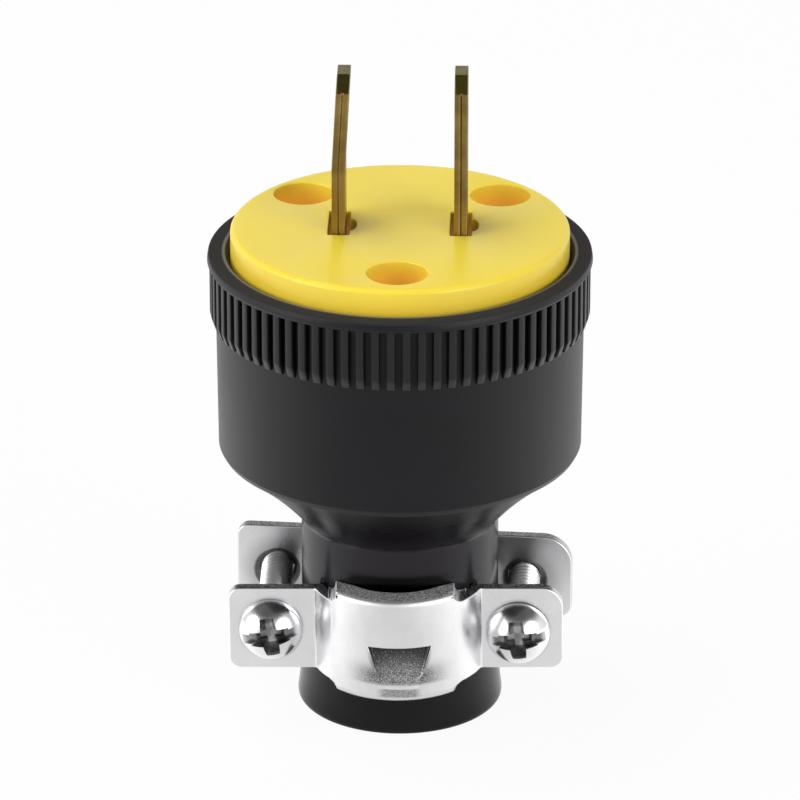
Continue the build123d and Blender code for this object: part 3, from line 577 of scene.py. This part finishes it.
def plating_finish(colours, size):
    """Bright plating on the clamp screws, with painted shade below the domes' surface in their recesses
    and on the shanks.
    """
    finish = Finish("screw_plating", Metallic=1.0)
    cloud = finish.noise(700, 4.0, 0.6)
    dome = dome_radius(size)
    dome_middle = Vector((0.0, 0.0, dome - size.head_height))
    left, right = (finish.from_point(screw_matrix(side, 0.0) @ dome_middle) for side in SCREW_LINES)
    in_recess = finish.fade(left.smaller(right), dome - 0.45 * MM, dome - 0.03 * MM)
    # Painted shade in the slot and cross recess, patchy with the cloud.
    recess_shade = in_recess * (0.6 + finish.ease(cloud, 0.35, 0.6) * 0.4)
    on_shank = finish.ease(finish.along("Y"), -7.6 * MM, -7.0 * MM)
    plate = finish.blend(cloud, rgba(colours.plating, 0.8), rgba(colours.plating, 1.05))
    # Painted shade: the shank between the straps is made darker than the head.
    plate = finish.blend(on_shank, plate, rgba(colours.plating, 0.65))
    finish.paint("Base Color", finish.blend(recess_shade * 0.85, plate, rgba(colours.recess)))
    finish.paint("Roughness", 0.21 + (cloud - 0.5) * 0.12 + on_shank * 0.12)
    finish.bump(cloud, 0.2, 0.03 * MM)
    return finish.material


def plain_finish(name, colour, metallic, roughness):
    """One even finish, for the pieces inside the plug."""
    return Finish(name, Base_Color=rgba(colour), Metallic=metallic, Roughness=roughness).material


# Shapes

MERGE_DISTANCE = 0.002 * MM
QUARTER = [math.radians(15 * k) for k in range(7)]  # a quarter turn in six steps


def rounded(corners, steps=5):
    """A line through corners (across, along, rounding), each corner turned into an arc of its rounding."""
    line = []
    for i, (x, y, radius) in enumerate(corners):
        corner = Vector((x, y))
        if not radius:
            line.append(corner)
            continue
        before = (Vector(corners[i - 1][:2]) - corner).normalized()
        after = (Vector(corners[(i + 1) % len(corners)][:2]) - corner).normalized()
        half = before.angle(after) / 2
        centre = corner + (before + after).normalized() * radius / math.sin(half)
        first = corner + before * radius / math.tan(half)
        last = corner + after * radius / math.tan(half)
        start, sweep = first - centre, (first - centre).angle_signed(last - centre)
        for k in range(steps + 1):
            line.append(centre + Matrix.Rotation(-sweep * k / steps, 2) @ start)
    return line


def spun(bm, line, steps, closed):
    """Spins a line of (radius, height) points a full turn about Z."""
    verts = [bm.verts.new((point.x, 0, point.y)) for point in line]
    pairs = zip(verts, verts[1:] + verts[:1] if closed else verts[1:])
    edges = [bm.edges.new(pair) for pair in pairs]
    bmesh.ops.spin(
        bm,
        geom=verts + edges,
        cent=(0, 0, 0),
        axis=(0, 0, 1),
        angle=2 * math.pi,
        steps=steps,
        use_merge=True,
    )


def loop_of(bm, outline, height):
    """A closed ring of edges through (x, y) points at a height."""
    verts = [bm.verts.new((x, y, height)) for x, y in outline]
    return [bm.edges.new(pair) for pair in zip(verts, verts[1:] + verts[:1])]


def skin(bm, rings):
    """Walls between each ring of edges and the next."""
    for low, high in zip(rings, rings[1:]):
        bmesh.ops.bridge_loops(bm, edges=low + high)


def cap(bm, rings, up):
    """A flat face inside the first ring, with a hole for each of the other rings."""
    edges = [edge for ring in rings for edge in ring]
    bmesh.ops.triangle_fill(bm, use_beauty=True, edges=edges, normal=(0, 0, 1 if up else -1))


def grown(outline, amount):
    """An outline moved outwards by amount, corner by corner. It runs anticlockwise."""
    moved = []
    for i, point in enumerate(outline):
        before, after = point - outline[i - 1], outline[(i + 1) % len(outline)] - point
        normal = before.normalized() + after.normalized()
        normal = Vector((normal.y, -normal.x)).normalized()
        moved.append(point + normal * amount)
    return moved


def rounding_rings(bm, outline, top, rounding, angles):
    """Rings that round a wall over into the flat at height top. A wall inside has a negative rounding."""
    rings = []
    for t in angles:
        ring = grown(outline, -rounding * (1 - math.cos(t)))
        rings.append(loop_of(bm, ring, top - abs(rounding) * (1 - math.sin(t))))
    return rings


def circle_line(radius, steps, x=0.0, y=0.0):
    """Anticlockwise points on a circle."""
    turns = [2 * math.pi * k / steps for k in range(steps)]
    return [Vector((x + radius * math.cos(t), y + radius * math.sin(t))) for t in turns]


def tidy(bm):
    """Merges doubles and points every face outwards."""
    bmesh.ops.remove_doubles(bm, verts=bm.verts[:], dist=MERGE_DISTANCE)
    bmesh.ops.recalc_face_normals(bm, faces=bm.faces[:])


def join_in(bm, other):
    """Adds another bmesh, which is used up."""
    mesh = bpy.data.meshes.new("joined")
    other.to_mesh(mesh)
    other.free()
    bm.from_mesh(mesh)
    bpy.data.meshes.remove(mesh)


def object_from(bm, name):
    """Turns a bmesh into an object in the scene, at the origin."""
    mesh = bpy.data.meshes.new(name)
    bm.to_mesh(mesh)
    bm.free()
    made = bpy.data.objects.new(name, mesh)
    bpy.context.scene.collection.objects.link(made)
    return made


def smooth_shading(mesh, sharp_angle):
    """Smooth shading that breaks at edges sharper than an angle in degrees."""
    mesh.shade_smooth()
    mesh.set_sharp_from_angle(angle=math.radians(sharp_angle))


def piece_from(bm, name, material, node, sharp_angle=35.0):
    """Turns a bmesh into the shown piece that stands for a CAD node."""
    piece = object_from(bm, name)
    piece.data.materials.append(material)
    smooth_shading(piece.data, sharp_angle)
    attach(piece, "root")
    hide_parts(node)
    return piece


def merged_copy(node):
    """A CAD node's mesh with its loose triangles joined and its flat faces made whole."""
    bm = bmesh.new()
    bm.from_mesh(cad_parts[node].data)
    bmesh.ops.remove_doubles(bm, verts=bm.verts[:], dist=MERGE_DISTANCE)
    bmesh.ops.dissolve_limit(bm, angle_limit=math.radians(0.5), verts=bm.verts[:], edges=bm.edges[:])
    return bm


def soften(piece, width, angle):
    """Rounds a piece's edges that are sharper than an angle in degrees, with a Bevel modifier."""
    bevel = piece.modifiers.new("edge_rounding", "BEVEL")
    bevel.width = width
    bevel.segments = 2
    bevel.limit_method = "ANGLE"
    bevel.angle_limit = math.radians(angle)
    bevel.use_clamp_overlap = False
    bevel.harden_normals = True


def carve(piece, name, shape):
    """Takes a bmesh's shape out of the piece."""
    cutter = object_from(shape, name)
    cut = piece.modifiers.new("carve", "BOOLEAN")
    cut.operation = "DIFFERENCE"
    cut.solver = "EXACT"
    cut.object = cutter
    shaped = piece.evaluated_get(bpy.context.evaluated_depsgraph_get())
    mesh = bpy.data.meshes.new_from_object(shaped)
    piece.modifiers.remove(cut)
    old = piece.data
    piece.data = mesh
    bpy.data.meshes.remove(old)
    bpy.data.meshes.remove(cutter.data)


# Housing

STEPS_PER_RIB = 4  # of the spun wall
RIB_SINK = 0.2 * MM  # how deep a rib's root lies in the barrel

# Where the ears of the front and the rear strap press on the neck, in millimetres: from and to in height,
# a point on the ears' inner faces, and the direction from the neck to the ears.
PRESSED_PLACES = (
    (6.3, 15.9, (0.0, -6.4), (0.0, -1.0)),
    (6.5, 16.0, (0.39, 6.12), (0.0793, 0.99685)),
)
SADDLE_SETBACK = 1.75 * MM  # from the ears' inner faces to the middle of the saddle's curve
SADDLE_INSIDE = 7.9 * MM  # radius of the saddle's curve, inside which the neck stays round
NECK_INSIDE = 9.0 * MM  # the bore's wall lies inside this radius and stays round


def neck_line(size):
    """The outside from the cord end's edge up to the underside, with rows that the dents can use."""
    flare, rise = size.tail_radius - size.neck_radius, size.flare_height - size.tail_edge
    corners = []
    for k in range(9):
        share = 1 - k / 9
        corners.append((size.neck_radius + flare * share**2, size.tail_edge + rise * (1 - share), 0.0))
    clear_of_fillet = size.neck_height - 0.8 * MM
    straight = clear_of_fillet - size.flare_height
    corners += [(size.neck_radius, size.flare_height + straight * k / 28, 0.0) for k in range(29)]
    corners.append((size.neck_radius, size.neck_height, size.neck_fillet))
    return corners


def underside_line(size):
    """The hollowed slope from the neck out to the barrel's lower edge, without its ends."""
    start = Vector((size.neck_radius, size.neck_height))
    end = Vector((size.skirt_radius, size.skirt_height))
    slope = end - start
    sag = (start + end) / 2 + Vector((-slope.y, slope.x)).normalized() * size.underside_sag
    corners = []
    for k in range(1, 16):
        share = k / 16
        point = start * (1 - share) ** 2 + sag * 2 * share * (1 - share) + end * share**2
        corners.append((point.x, point.y, 0.0))
    return corners


def housing_line(size):
    """The housing's wall as a closed line: up outside from the cord end, over the rim and down inside."""
    top, lip, core = HOUSING_TOP.z, HOUSING_TOP.x, FACE_LOW.z
    barrel = size.barrel_radius
    core_lip = core - size.inner_lip_height
    corners = [
        (size.bore_radius, 0.0, 0.4 * MM),
        (size.tail_radius, 0.0, 0.5 * MM),
        *neck_line(size),
        *underside_line(size),
        (size.skirt_radius, size.skirt_height, 0.15 * MM),
        (barrel - 0.08 * MM, size.skirt_height + size.skirt_edge, 0.3 * MM),
        (barrel + 0.06 * MM, size.rib_foot, 0.0),
        (barrel + 0.06 * MM, size.rib_top, 0.0),
        (size.rib_radius, size.rib_top, 0.05 * MM),
        (lip, size.rib_top + 0.35 * MM, 0.2 * MM),
        (size.rim_radius, top, size.rim_edge),
        (SEAT_RADIUS + size.mouth_width, top, 0.15 * MM),
        (SEAT_RADIUS, top - size.mouth_drop, 0.0),
        (SEAT_RADIUS, core, 0.0),
        (size.inner_lip_radius, core, 0.0),
        (size.inner_lip_radius, core_lip, 0.0),
        (size.cavity_radius, core_lip, 0.0),
        (size.cavity_radius, size.cavity_floor, 0.0),
        (size.bore_radius, size.bore_length, 0.0),
    ]
    return rounded(corners)


def add_rib(bm, size):
    """One grip rib on the -Y side, with a rounded foot and softened crest edges."""
    root, top = size.barrel_radius - RIB_SINK, size.rib_top + 0.1 * MM
    line = rounded(
        [
            (root, size.rib_foot, 0.0),
            (size.rib_radius - 0.4 * MM, size.rib_foot, 0.15 * MM),
            (size.rib_radius, size.rib_foot + size.rib_fade, 1.0 * MM),
            (size.rib_radius, top, 0.0),
            (root, top, 0.0),
        ],
        steps=4,
    )
    verts = [bm.verts.new((-size.rib_width / 2, -point.x, point.y)) for point in line]
    face = bm.faces.new(verts)
    made = bmesh.ops.extrude_face_region(bm, geom=[face])["geom"]
    far = [item for item in made if isinstance(item, bmesh.types.BMVert)]
    bmesh.ops.translate(bm, vec=(size.rib_width, 0, 0), verts=far)
    crest = []
    for edge in bm.edges:
        near, end = edge.verts[0].co, edge.verts[1].co
        outside = max(near.y, end.y) < -root - 0.05 * MM
        along_one_side = abs(near.x - end.x) < 0.01 * MM
        if outside and along_one_side:
            crest.append(edge)
    bmesh.ops.bevel(
        bm,
        geom=crest,
        offset=size.rib_edge,
        offset_type="OFFSET",
        segments=2,
        profile=0.5,
        affect="EDGES",
        material=-1,
        clamp_overlap=True,
    )


def collar_ribs(size):
    """The grip ribs all round the collar."""
    ribs = bmesh.new()
    add_rib(ribs, size)
    first = Matrix.Rotation(size.rib_turn, 3, "Z")
    bmesh.ops.rotate(ribs, cent=(0, 0, 0), matrix=first, verts=ribs.verts[:])
    bmesh.ops.spin(
        ribs,
        geom=ribs.verts[:] + ribs.edges[:] + ribs.faces[:],
        cent=(0, 0, 0),
        axis=(0, 0, 1),
        angle=2 * math.pi * (size.rib_count - 1) / size.rib_count,
        steps=size.rib_count - 1,
        use_duplicate=True,
    )
    return ribs


def press_in(bm, low, high, place, facing):
    """Dents the neck where a clamp strap's ears press on it. facing points away from the neck."""
    saddle = place - facing * SADDLE_SETBACK
    for vert in bm.verts:
        beyond = (vert.co.xy - place).dot(facing)
        clear_of_saddle = (vert.co.xy - saddle).length > SADDLE_INSIDE
        on_outside = vert.co.xy.length > NECK_INSIDE
        if low < vert.co.z < high and beyond > 0 and clear_of_saddle and on_outside:
            vert.co.xy -= facing * beyond


def housing_piece(size, material):
    """The rubber housing: a spun wall, its grip ribs and the dents of the clamp."""
    bm = bmesh.new()
    spun(bm, housing_line(size), size.rib_count * STEPS_PER_RIB, closed=True)
    for low, high, place, facing in PRESSED_PLACES:
        press_in(bm, low * MM, high * MM, Vector(place) * MM, Vector(facing))
    tidy(bm)
    join_in(bm, collar_ribs(size))
    bmesh.ops.recalc_face_normals(bm, faces=bm.faces[:])
    return piece_from(bm, "housing", material, "rubber_body")


# Face

WELL_PLACES = ((0.0, -12.8 * MM), (-10.35 * MM, 8.9 * MM), (10.35 * MM, 8.9 * MM))


def slot_line(size, side):
    """A blade slot's outline, anticlockwise, with its rounded notch on the +X side."""
    x = side * size.slot_spacing / 2
    left, right = x - size.slot_width / 2, x + size.slot_width / 2
    front, back = size.slot_shift - size.slot_length / 2, size.slot_shift + size.slot_length / 2
    corners = [(right, back), (left, back), (left, front), (right, front)]
    line = rounded([(*corner, size.slot_corner) for corner in corners], steps=3)
    for k in range(13):
        t = math.radians(-90 + 15 * k)
        y = size.slot_shift - size.notch_shift + size.notch_length / 2 * math.sin(t)
        line.append(Vector((right + size.notch_depth * math.cos(t), y)))
    return line


def face_piece(size, material):
    """The yellow disc with rounded edge, three screw wells and two notched slots through it."""
    bm = bmesh.new()
    low, top = FACE_LOW.z, FACE_HIGH.z
    rim = circle_line(FACE_HIGH.x, 180)
    disc = [loop_of(bm, rim, low), *rounding_rings(bm, rim, top, size.edge, QUARTER)]
    skin(bm, disc)
    low_rings, top_rings = [disc[0]], [disc[-1]]

    floor = top - size.well_depth
    for x, y in WELL_PLACES:
        mouth = circle_line(size.well_radius, 48, x, y)
        hole = circle_line(size.screw_hole, 48, x, y)
        well = [loop_of(bm, hole, low), loop_of(bm, hole, floor), loop_of(bm, mouth, floor)]
        well += rounding_rings(bm, mouth, top, -size.mouth_edge, QUARTER[::2])
        skin(bm, well)
        low_rings.append(well[0])
        top_rings.append(well[-1])

    for side in (-1, 1):
        line = slot_line(size, side)
        slot = [loop_of(bm, line, low), *rounding_rings(bm, line, top, -size.mouth_edge, QUARTER[::2])]
        skin(bm, slot)
        low_rings.append(slot[0])
        top_rings.append(slot[-1])

    cap(bm, top_rings, up=True)
    cap(bm, low_rings, up=False)
    tidy(bm)
    return piece_from(bm, "face_disc", material, "face_insert", sharp_angle=30.0)


# Blades, straps and screws

# Middle of each clamp screw under its head, and the direction in which its shank runs.
SCREW_LINES = {
    "left": (Vector((-13.4855, -7.7984, 10.9019)) * MM, Vector((0.00524, 0.99994, -0.01005))),
    "right": (Vector((12.6866, -7.8983, 10.821)) * MM, Vector((0.04065, 0.99916, -0.00542))),
}

# One thread's section from root to crest and back: share of the thread's depth, and of its pitch.
THREAD_SECTION = ((0, 0.0), (0, 0.2), (1, 0.45), (1, 0.6), (0, 0.85), (0, 1.0))
THREAD_STEPS = 20  # round the shank


def blade_piece(node, name, size, material):
    """A blade with its cut edges rounded."""
    piece = piece_from(merged_copy(node), name, material, node)
    soften(piece, size.edge, angle=30.0)
    return piece


def strap_piece(node, name, size, material):
    """A stamped strap with its edges rounded."""
    piece = piece_from(merged_copy(node), name, material, node, sharp_angle=25.0)
    soften(piece, size.edge, angle=32.0)
    return piece


def dome_radius(size):
    """Radius of the sphere that a screw head's top is part of."""
    rise = size.head_height - size.head_rim
    return (size.head_radius**2 + rise**2) / (2 * rise)


def screw_matrix(side, slot_turn):
    """Where a clamp screw lies: its own +Z runs from under the head through both straps."""
    start, run = SCREW_LINES[side]
    across = Vector((run.y, -run.x, 0.0)).normalized()
    basis = Matrix((across, run.cross(across), run)).transposed().to_4x4()
    return Matrix.Translation(start) @ basis @ Matrix.Rotation(-slot_turn, 4, "Z")


def head_shape(size):
    """The domed head of a screw, its top towards -Z."""
    dome, top, rim = dome_radius(size), -size.head_height, size.head_radius
    line = [Vector((0.0, 0.0)), Vector((rim - 0.1 * MM, 0.0)), Vector((rim, -0.1 * MM))]
    reach = math.asin(rim / dome)
    for k in range(13):
        t = reach * (1 - k / 12)
        line.append(Vector((dome * math.sin(t), top + dome - dome * math.cos(t))))
    bm = bmesh.new()
    spun(bm, line, 64, closed=False)
    tidy(bm)
    return bm


def slot_shape(size):
    """The slot of a screw head, as a bar that reaches past the head's sides and over its top."""
    bm = bmesh.new()
    deep = size.slot_depth + 1.0 * MM
    place = Matrix.Translation((0, 0, size.slot_depth - size.head_height - deep / 2))
    bar = Matrix.Diagonal((2.2 * size.head_radius, size.slot_width, deep, 1.0))
    bmesh.ops.create_cube(bm, size=1.0, matrix=place @ bar)
    return bm


def cross_shape(size, turned):
    """One tapered arm of the cross recess, widest above the head."""
    bm = bmesh.new()
    over, narrowing = 0.4 * MM, 0.65
    floor = size.cross_depth - size.head_height
    deep = size.cross_depth + over
    dome = dome_radius(size)
    drop = dome - math.sqrt(dome**2 - size.cross_reach**2)
    wide = 1 / (1 - narrowing * (over + drop) / deep)
    place = Matrix.Translation((0, 0, floor - deep / 2)) @ Matrix.Rotation(turned, 4, "Z")
    arm = Matrix.Diagonal((2 * size.cross_reach * wide, size.cross_width * wide, deep, 1.0))
    bmesh.ops.create_cube(bm, size=1.0, matrix=place @ arm)
    low = [vert for vert in bm.verts if vert.co.z > floor - 0.1 * MM]
    bmesh.ops.scale(bm, vec=(1 - narrowing, 1 - narrowing, 1.0), verts=low)
    return bm


def add_thread(bm, size):
    """The threaded shank: one thread's section carried round and along by a spin."""
    pitch, root = size.thread_pitch, size.shank_radius - size.thread_depth
    turns = int(size.shank_length / pitch) - 1
    points = [(root + size.thread_depth * out, 0, pitch * along) for out, along in THREAD_SECTION]
    verts = [bm.verts.new(point) for point in points]
    edges = [bm.edges.new(pair) for pair in zip(verts, verts[1:])]
    bmesh.ops.spin(
        bm,
        geom=verts + edges,
        cent=(0, 0, 0),
        axis=(0, 0, 1),
        dvec=(0, 0, pitch / THREAD_STEPS),
        angle=2 * math.pi * turns,
        steps=THREAD_STEPS * turns,
    )
    bmesh.ops.remove_doubles(bm, verts=bm.verts[:], dist=MERGE_DISTANCE)


def core_shape(size):
    """The plain core of the shank, which ends in a tapered tip."""
    root, end = size.shank_radius - size.thread_depth, size.shank_length
    corners = [(0.0, end, 0.0), (root - 0.2 * MM, end, 0.1 * MM), (root, end - 0.8 * MM, 0.0)]
    bm = bmesh.new()
    spun(bm, rounded(corners) + [Vector((root, 0.2 * MM))], THREAD_STEPS, closed=False)
    return bm


def screw_piece(side, slot_turn, size, material):
    """A clamp screw: domed head with slot and cross recess, and a threaded shank."""
    node, name = f"clamp_screw_{side}", f"{side}_screw"
    piece = piece_from(head_shape(size), name, material, node, sharp_angle=30.0)
    for turned in (0.0, math.pi / 2):
        carve(piece, "cross_cutter", cross_shape(size, turned))
    carve(piece, "slot_cutter", slot_shape(size))
    bm = bmesh.new()
    bm.from_mesh(piece.data)
    bmesh.ops.dissolve_limit(bm, angle_limit=math.radians(0.2), verts=bm.verts[:], edges=bm.edges[:])
    add_thread(bm, size)
    join_in(bm, core_shape(size))
    bmesh.ops.recalc_face_normals(bm, faces=bm.faces[:])
    bmesh.ops.transform(bm, matrix=screw_matrix(side, slot_turn), verts=bm.verts[:])
    bm.to_mesh(piece.data)
    bm.free()
    smooth_shading(piece.data, 30.0)
    return piece


# Studio

FLOOR_WHITENESS = 0.94  # how much of the floor's shading the camera doesn't see
FLOOR_MIRRORED_AHEAD = 0.82  # brightness of the floor in gloss, in front of the plug and behind it
FLOOR_MIRRORED_ASIDE = 1.6  # and to its left and right
FILL = 0.35  # light from all round
ROOM_MIRRORED_AHEAD = 0.8  # brightness of the surroundings in gloss, in front and behind
ROOM_MIRRORED_ASIDE = 1.0  # and to the left and right
ROOM_DIMMING = 0.87  # how much darker they are overhead

# Name, place, width in metres, power in watts, and whether gloss shows it.
LAMPS = (
    ("left_softbox", (-0.94, -0.47, 0.3), 0.82, 6.3, True),
    ("right_softbox", (0.73, -0.72, 0.32), 0.85, 6.3, True),
    ("top_softbox", (-0.25, 0.1, 0.87), 0.6, 4.4, False),
)
LAMP_TARGET = (0.0, 0.0, 0.035)
CAMERA_PLACE = (0.014, -0.6148, 0.3027)
CAMERA_TARGET = (0.0, 0.0, 0.034)
FOCAL_LENGTH = 286.7  # in millimetres, on a sensor 36 mm wide


def floor_finish(colour):
    """Floor that keeps the plug's shadow, looks white, and shows in gloss as softboxes would."""
    finish = Finish("floor", Base_Color=grey(0.8), Roughness=0.6)
    shaded = Value(finish, finish.shader.outputs["BSDF"])
    seen = finish.mixed(finish.ray("Camera") * FLOOR_WHITENESS, shaded, finish.glow(colour, 1.0))
    ahead, aside = finish.glow(colour, FLOOR_MIRRORED_AHEAD), finish.glow(colour, FLOOR_MIRRORED_ASIDE)
    mirrored = finish.mixed(finish.sideways(finish.place()), ahead, aside)
    output = finish.tree.nodes["Material Output"]
    finish.feed(output.inputs["Surface"], finish.mixed(finish.ray("Glossy"), seen, mirrored))
    return finish.material


def lay_floor(colour):
    """A round floor, 6 m wide."""
    bm = bmesh.new()
    bmesh.ops.create_circle(bm, cap_ends=True, segments=64, radius=3.0)
    floor = object_from(bm, "floor")
    floor.data.materials.append(floor_finish(colour))


def surround(scene, colour):
    """White surroundings that give a soft fill, and that gloss shows darker overhead."""
    world = bpy.data.worlds.new("studio")
    world.use_nodes = True
    scene.world = world
    room = Surroundings(world)
    towards = room.node("ShaderNodeTexCoord", output="Generated")
    overhead = room.ease(room.part(towards, "Z"), 0.38, 0.78)
    seen, mirrored = room.ray("Camera"), room.ray("Glossy")
    fill = FILL * (1.0 - seen) * (1.0 - mirrored)
    aside = (ROOM_MIRRORED_ASIDE - ROOM_MIRRORED_AHEAD) * room.sideways(towards)
    level = (ROOM_MIRRORED_AHEAD + aside) * (1.0 - ROOM_DIMMING * overhead)
    room.background.inputs["Color"].default_value = colour
    room.feed(room.background.inputs["Strength"], fill + seen + mirrored * level)


def turn_towards(place, target):
    """The turn that points a lamp or the camera from a place to a target."""
    return (Vector(target) - Vector(place)).to_track_quat("-Z", "Y").to_euler()


def hang_lamps(scene):
    """Round area lamps, all pointed at the plug."""
    for name, place, width, power, shows in LAMPS:
        lamp = bpy.data.lights.new(name, "AREA")
        lamp.shape = "DISK"
        lamp.size = width
        lamp.energy = power
        holder = bpy.data.objects.new(name, lamp)
        scene.collection.objects.link(holder)
        holder.location = place
        holder.rotation_euler = turn_towards(place, LAMP_TARGET)
        holder.visible_glossy = shows


def set_camera(scene):
    """A long lens in front of the plug, which looks down on it by 24 degrees."""
    lens = bpy.data.cameras.new("camera")
    lens.sensor_width = 36.0
    lens.lens = FOCAL_LENGTH
    lens.clip_start, lens.clip_end = 0.01, 20.0
    camera = bpy.data.objects.new("camera", lens)
    scene.collection.objects.link(camera)
    camera.location = CAMERA_PLACE
    camera.rotation_euler = turn_towards(CAMERA_PLACE, CAMERA_TARGET)
    scene.camera = camera


# Operators


class PLUG_OT_housing(bpy.types.Operator):
    """Adds the rubber housing with its ribbed collar."""

    bl_idname = "plug.housing"
    bl_label = "Rubber housing"

    def execute(self, context):
        settings = context.scene.plug
        housing_piece(settings.housing, rubber_finish(settings.colours, settings.housing))
        return {"FINISHED"}


class PLUG_OT_face(bpy.types.Operator):
    """Adds the yellow face."""

    bl_idname = "plug.face"
    bl_label = "Yellow face"

    def execute(self, context):
        settings = context.scene.plug
        face_piece(settings.face, face_finish(settings.colours))
        return {"FINISHED"}


class PLUG_OT_blades(bpy.types.Operator):
    """Adds both brass blades."""

    bl_idname = "plug.blades"
    bl_label = "Blades"

    def execute(self, context):
        settings = context.scene.plug
        brass = brass_finish(settings.colours)
        blade_piece("blade_line", "left_blade", settings.blades, brass)
        blade_piece("blade_neutral", "right_blade", settings.blades, brass)
        return {"FINISHED"}


class PLUG_OT_clamp(bpy.types.Operator):
    """Adds the two clamp straps and their screws."""

    bl_idname = "plug.clamp"
    bl_label = "Cord clamp"

    def execute(self, context):
        settings = context.scene.plug
        size = settings.clamp
        zinc = zinc_finish(settings.colours)
        strap_piece("front_clamp_strap", "front_strap", size, zinc)
        strap_piece("rear_clamp_strap", "rear_strap", size, zinc)
        plating = plating_finish(settings.colours, size)
        screw_piece("left", size.left_slot_turn, size, plating)
        screw_piece("right", size.right_slot_turn, size, plating)
        return {"FINISHED"}


class PLUG_OT_inside(bpy.types.Operator):
    """Finishes the pieces inside the plug, which keep their solids' shapes."""

    bl_idname = "plug.inside"
    bl_label = "Pieces inside"

    def execute(self, context):
        colours = context.scene.plug.colours
        brass = plain_finish("terminal_brass", colours.brass, 1.0, 0.3)
        plating = plain_finish("terminal_plating", colours.plating, 1.0, 0.25)
        steel = plain_finish("inner_screw_steel", colours.plating, 1.0, 0.35)
        carrier = plain_finish("carrier_plastic", colours.carrier, 0.0, 0.5)
        finishes = {
            "terminal_carrier": carrier,
            "terminal_screw_line": brass,
            "wire_plate_line": brass,
            "terminal_screw_neutral": plating,
            "wire_plate_neutral": plating,
            "assembly_screw_front": steel,
            "assembly_screw_left": steel,
            "assembly_screw_right": steel,
        }
        for node, finish in finishes.items():
            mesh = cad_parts[node].data
            mesh.materials.clear()
            mesh.materials.append(finish)
        return {"FINISHED"}


class PLUG_OT_studio(bpy.types.Operator):
    """Sets up the floor, the surroundings, the lamps and the camera."""

    bl_idname = "plug.studio"
    bl_label = "Studio"

    def execute(self, context):
        scene = context.scene
        colour = rgba(scene.plug.colours.backdrop)
        lay_floor(colour)
        surround(scene, colour)
        hang_lamps(scene)
        set_camera(scene)
        scene.view_settings.view_transform = "Standard"
        return {"FINISHED"}


class PLUG_PT_panel(bpy.types.Panel):
    """Lists the plug's pieces in the 3D view's sidebar."""

    bl_label = "Straight blade plug"
    bl_idname = "PLUG_PT_panel"
    bl_space_type = "VIEW_3D"
    bl_region_type = "UI"
    bl_category = "Plug"

    def draw(self, context):
        for operator in OPERATORS:
            self.layout.operator(operator.bl_idname)


PROPERTY_GROUPS = (HousingSizes, FaceSizes, BladeSizes, ClampSizes, PlugColours, PlugSettings)
OPERATORS = (
    PLUG_OT_housing,
    PLUG_OT_face,
    PLUG_OT_blades,
    PLUG_OT_clamp,
    PLUG_OT_inside,
    PLUG_OT_studio,
)


def register():
    for group in (*PROPERTY_GROUPS, *OPERATORS, PLUG_PT_panel):
        bpy.utils.register_class(group)
    bpy.types.Scene.plug = PointerProperty(type=PlugSettings)


def unregister():
    del bpy.types.Scene.plug
    for group in reversed((*PROPERTY_GROUPS, *OPERATORS, PLUG_PT_panel)):
        bpy.utils.unregister_class(group)


def main():
    register()
    bpy.ops.plug.housing()
    bpy.ops.plug.face()
    bpy.ops.plug.blades()
    bpy.ops.plug.clamp()
    bpy.ops.plug.inside()
    bpy.ops.plug.studio()
    bpy.context.view_layer.update()


if __name__ == "__main__":
    main()
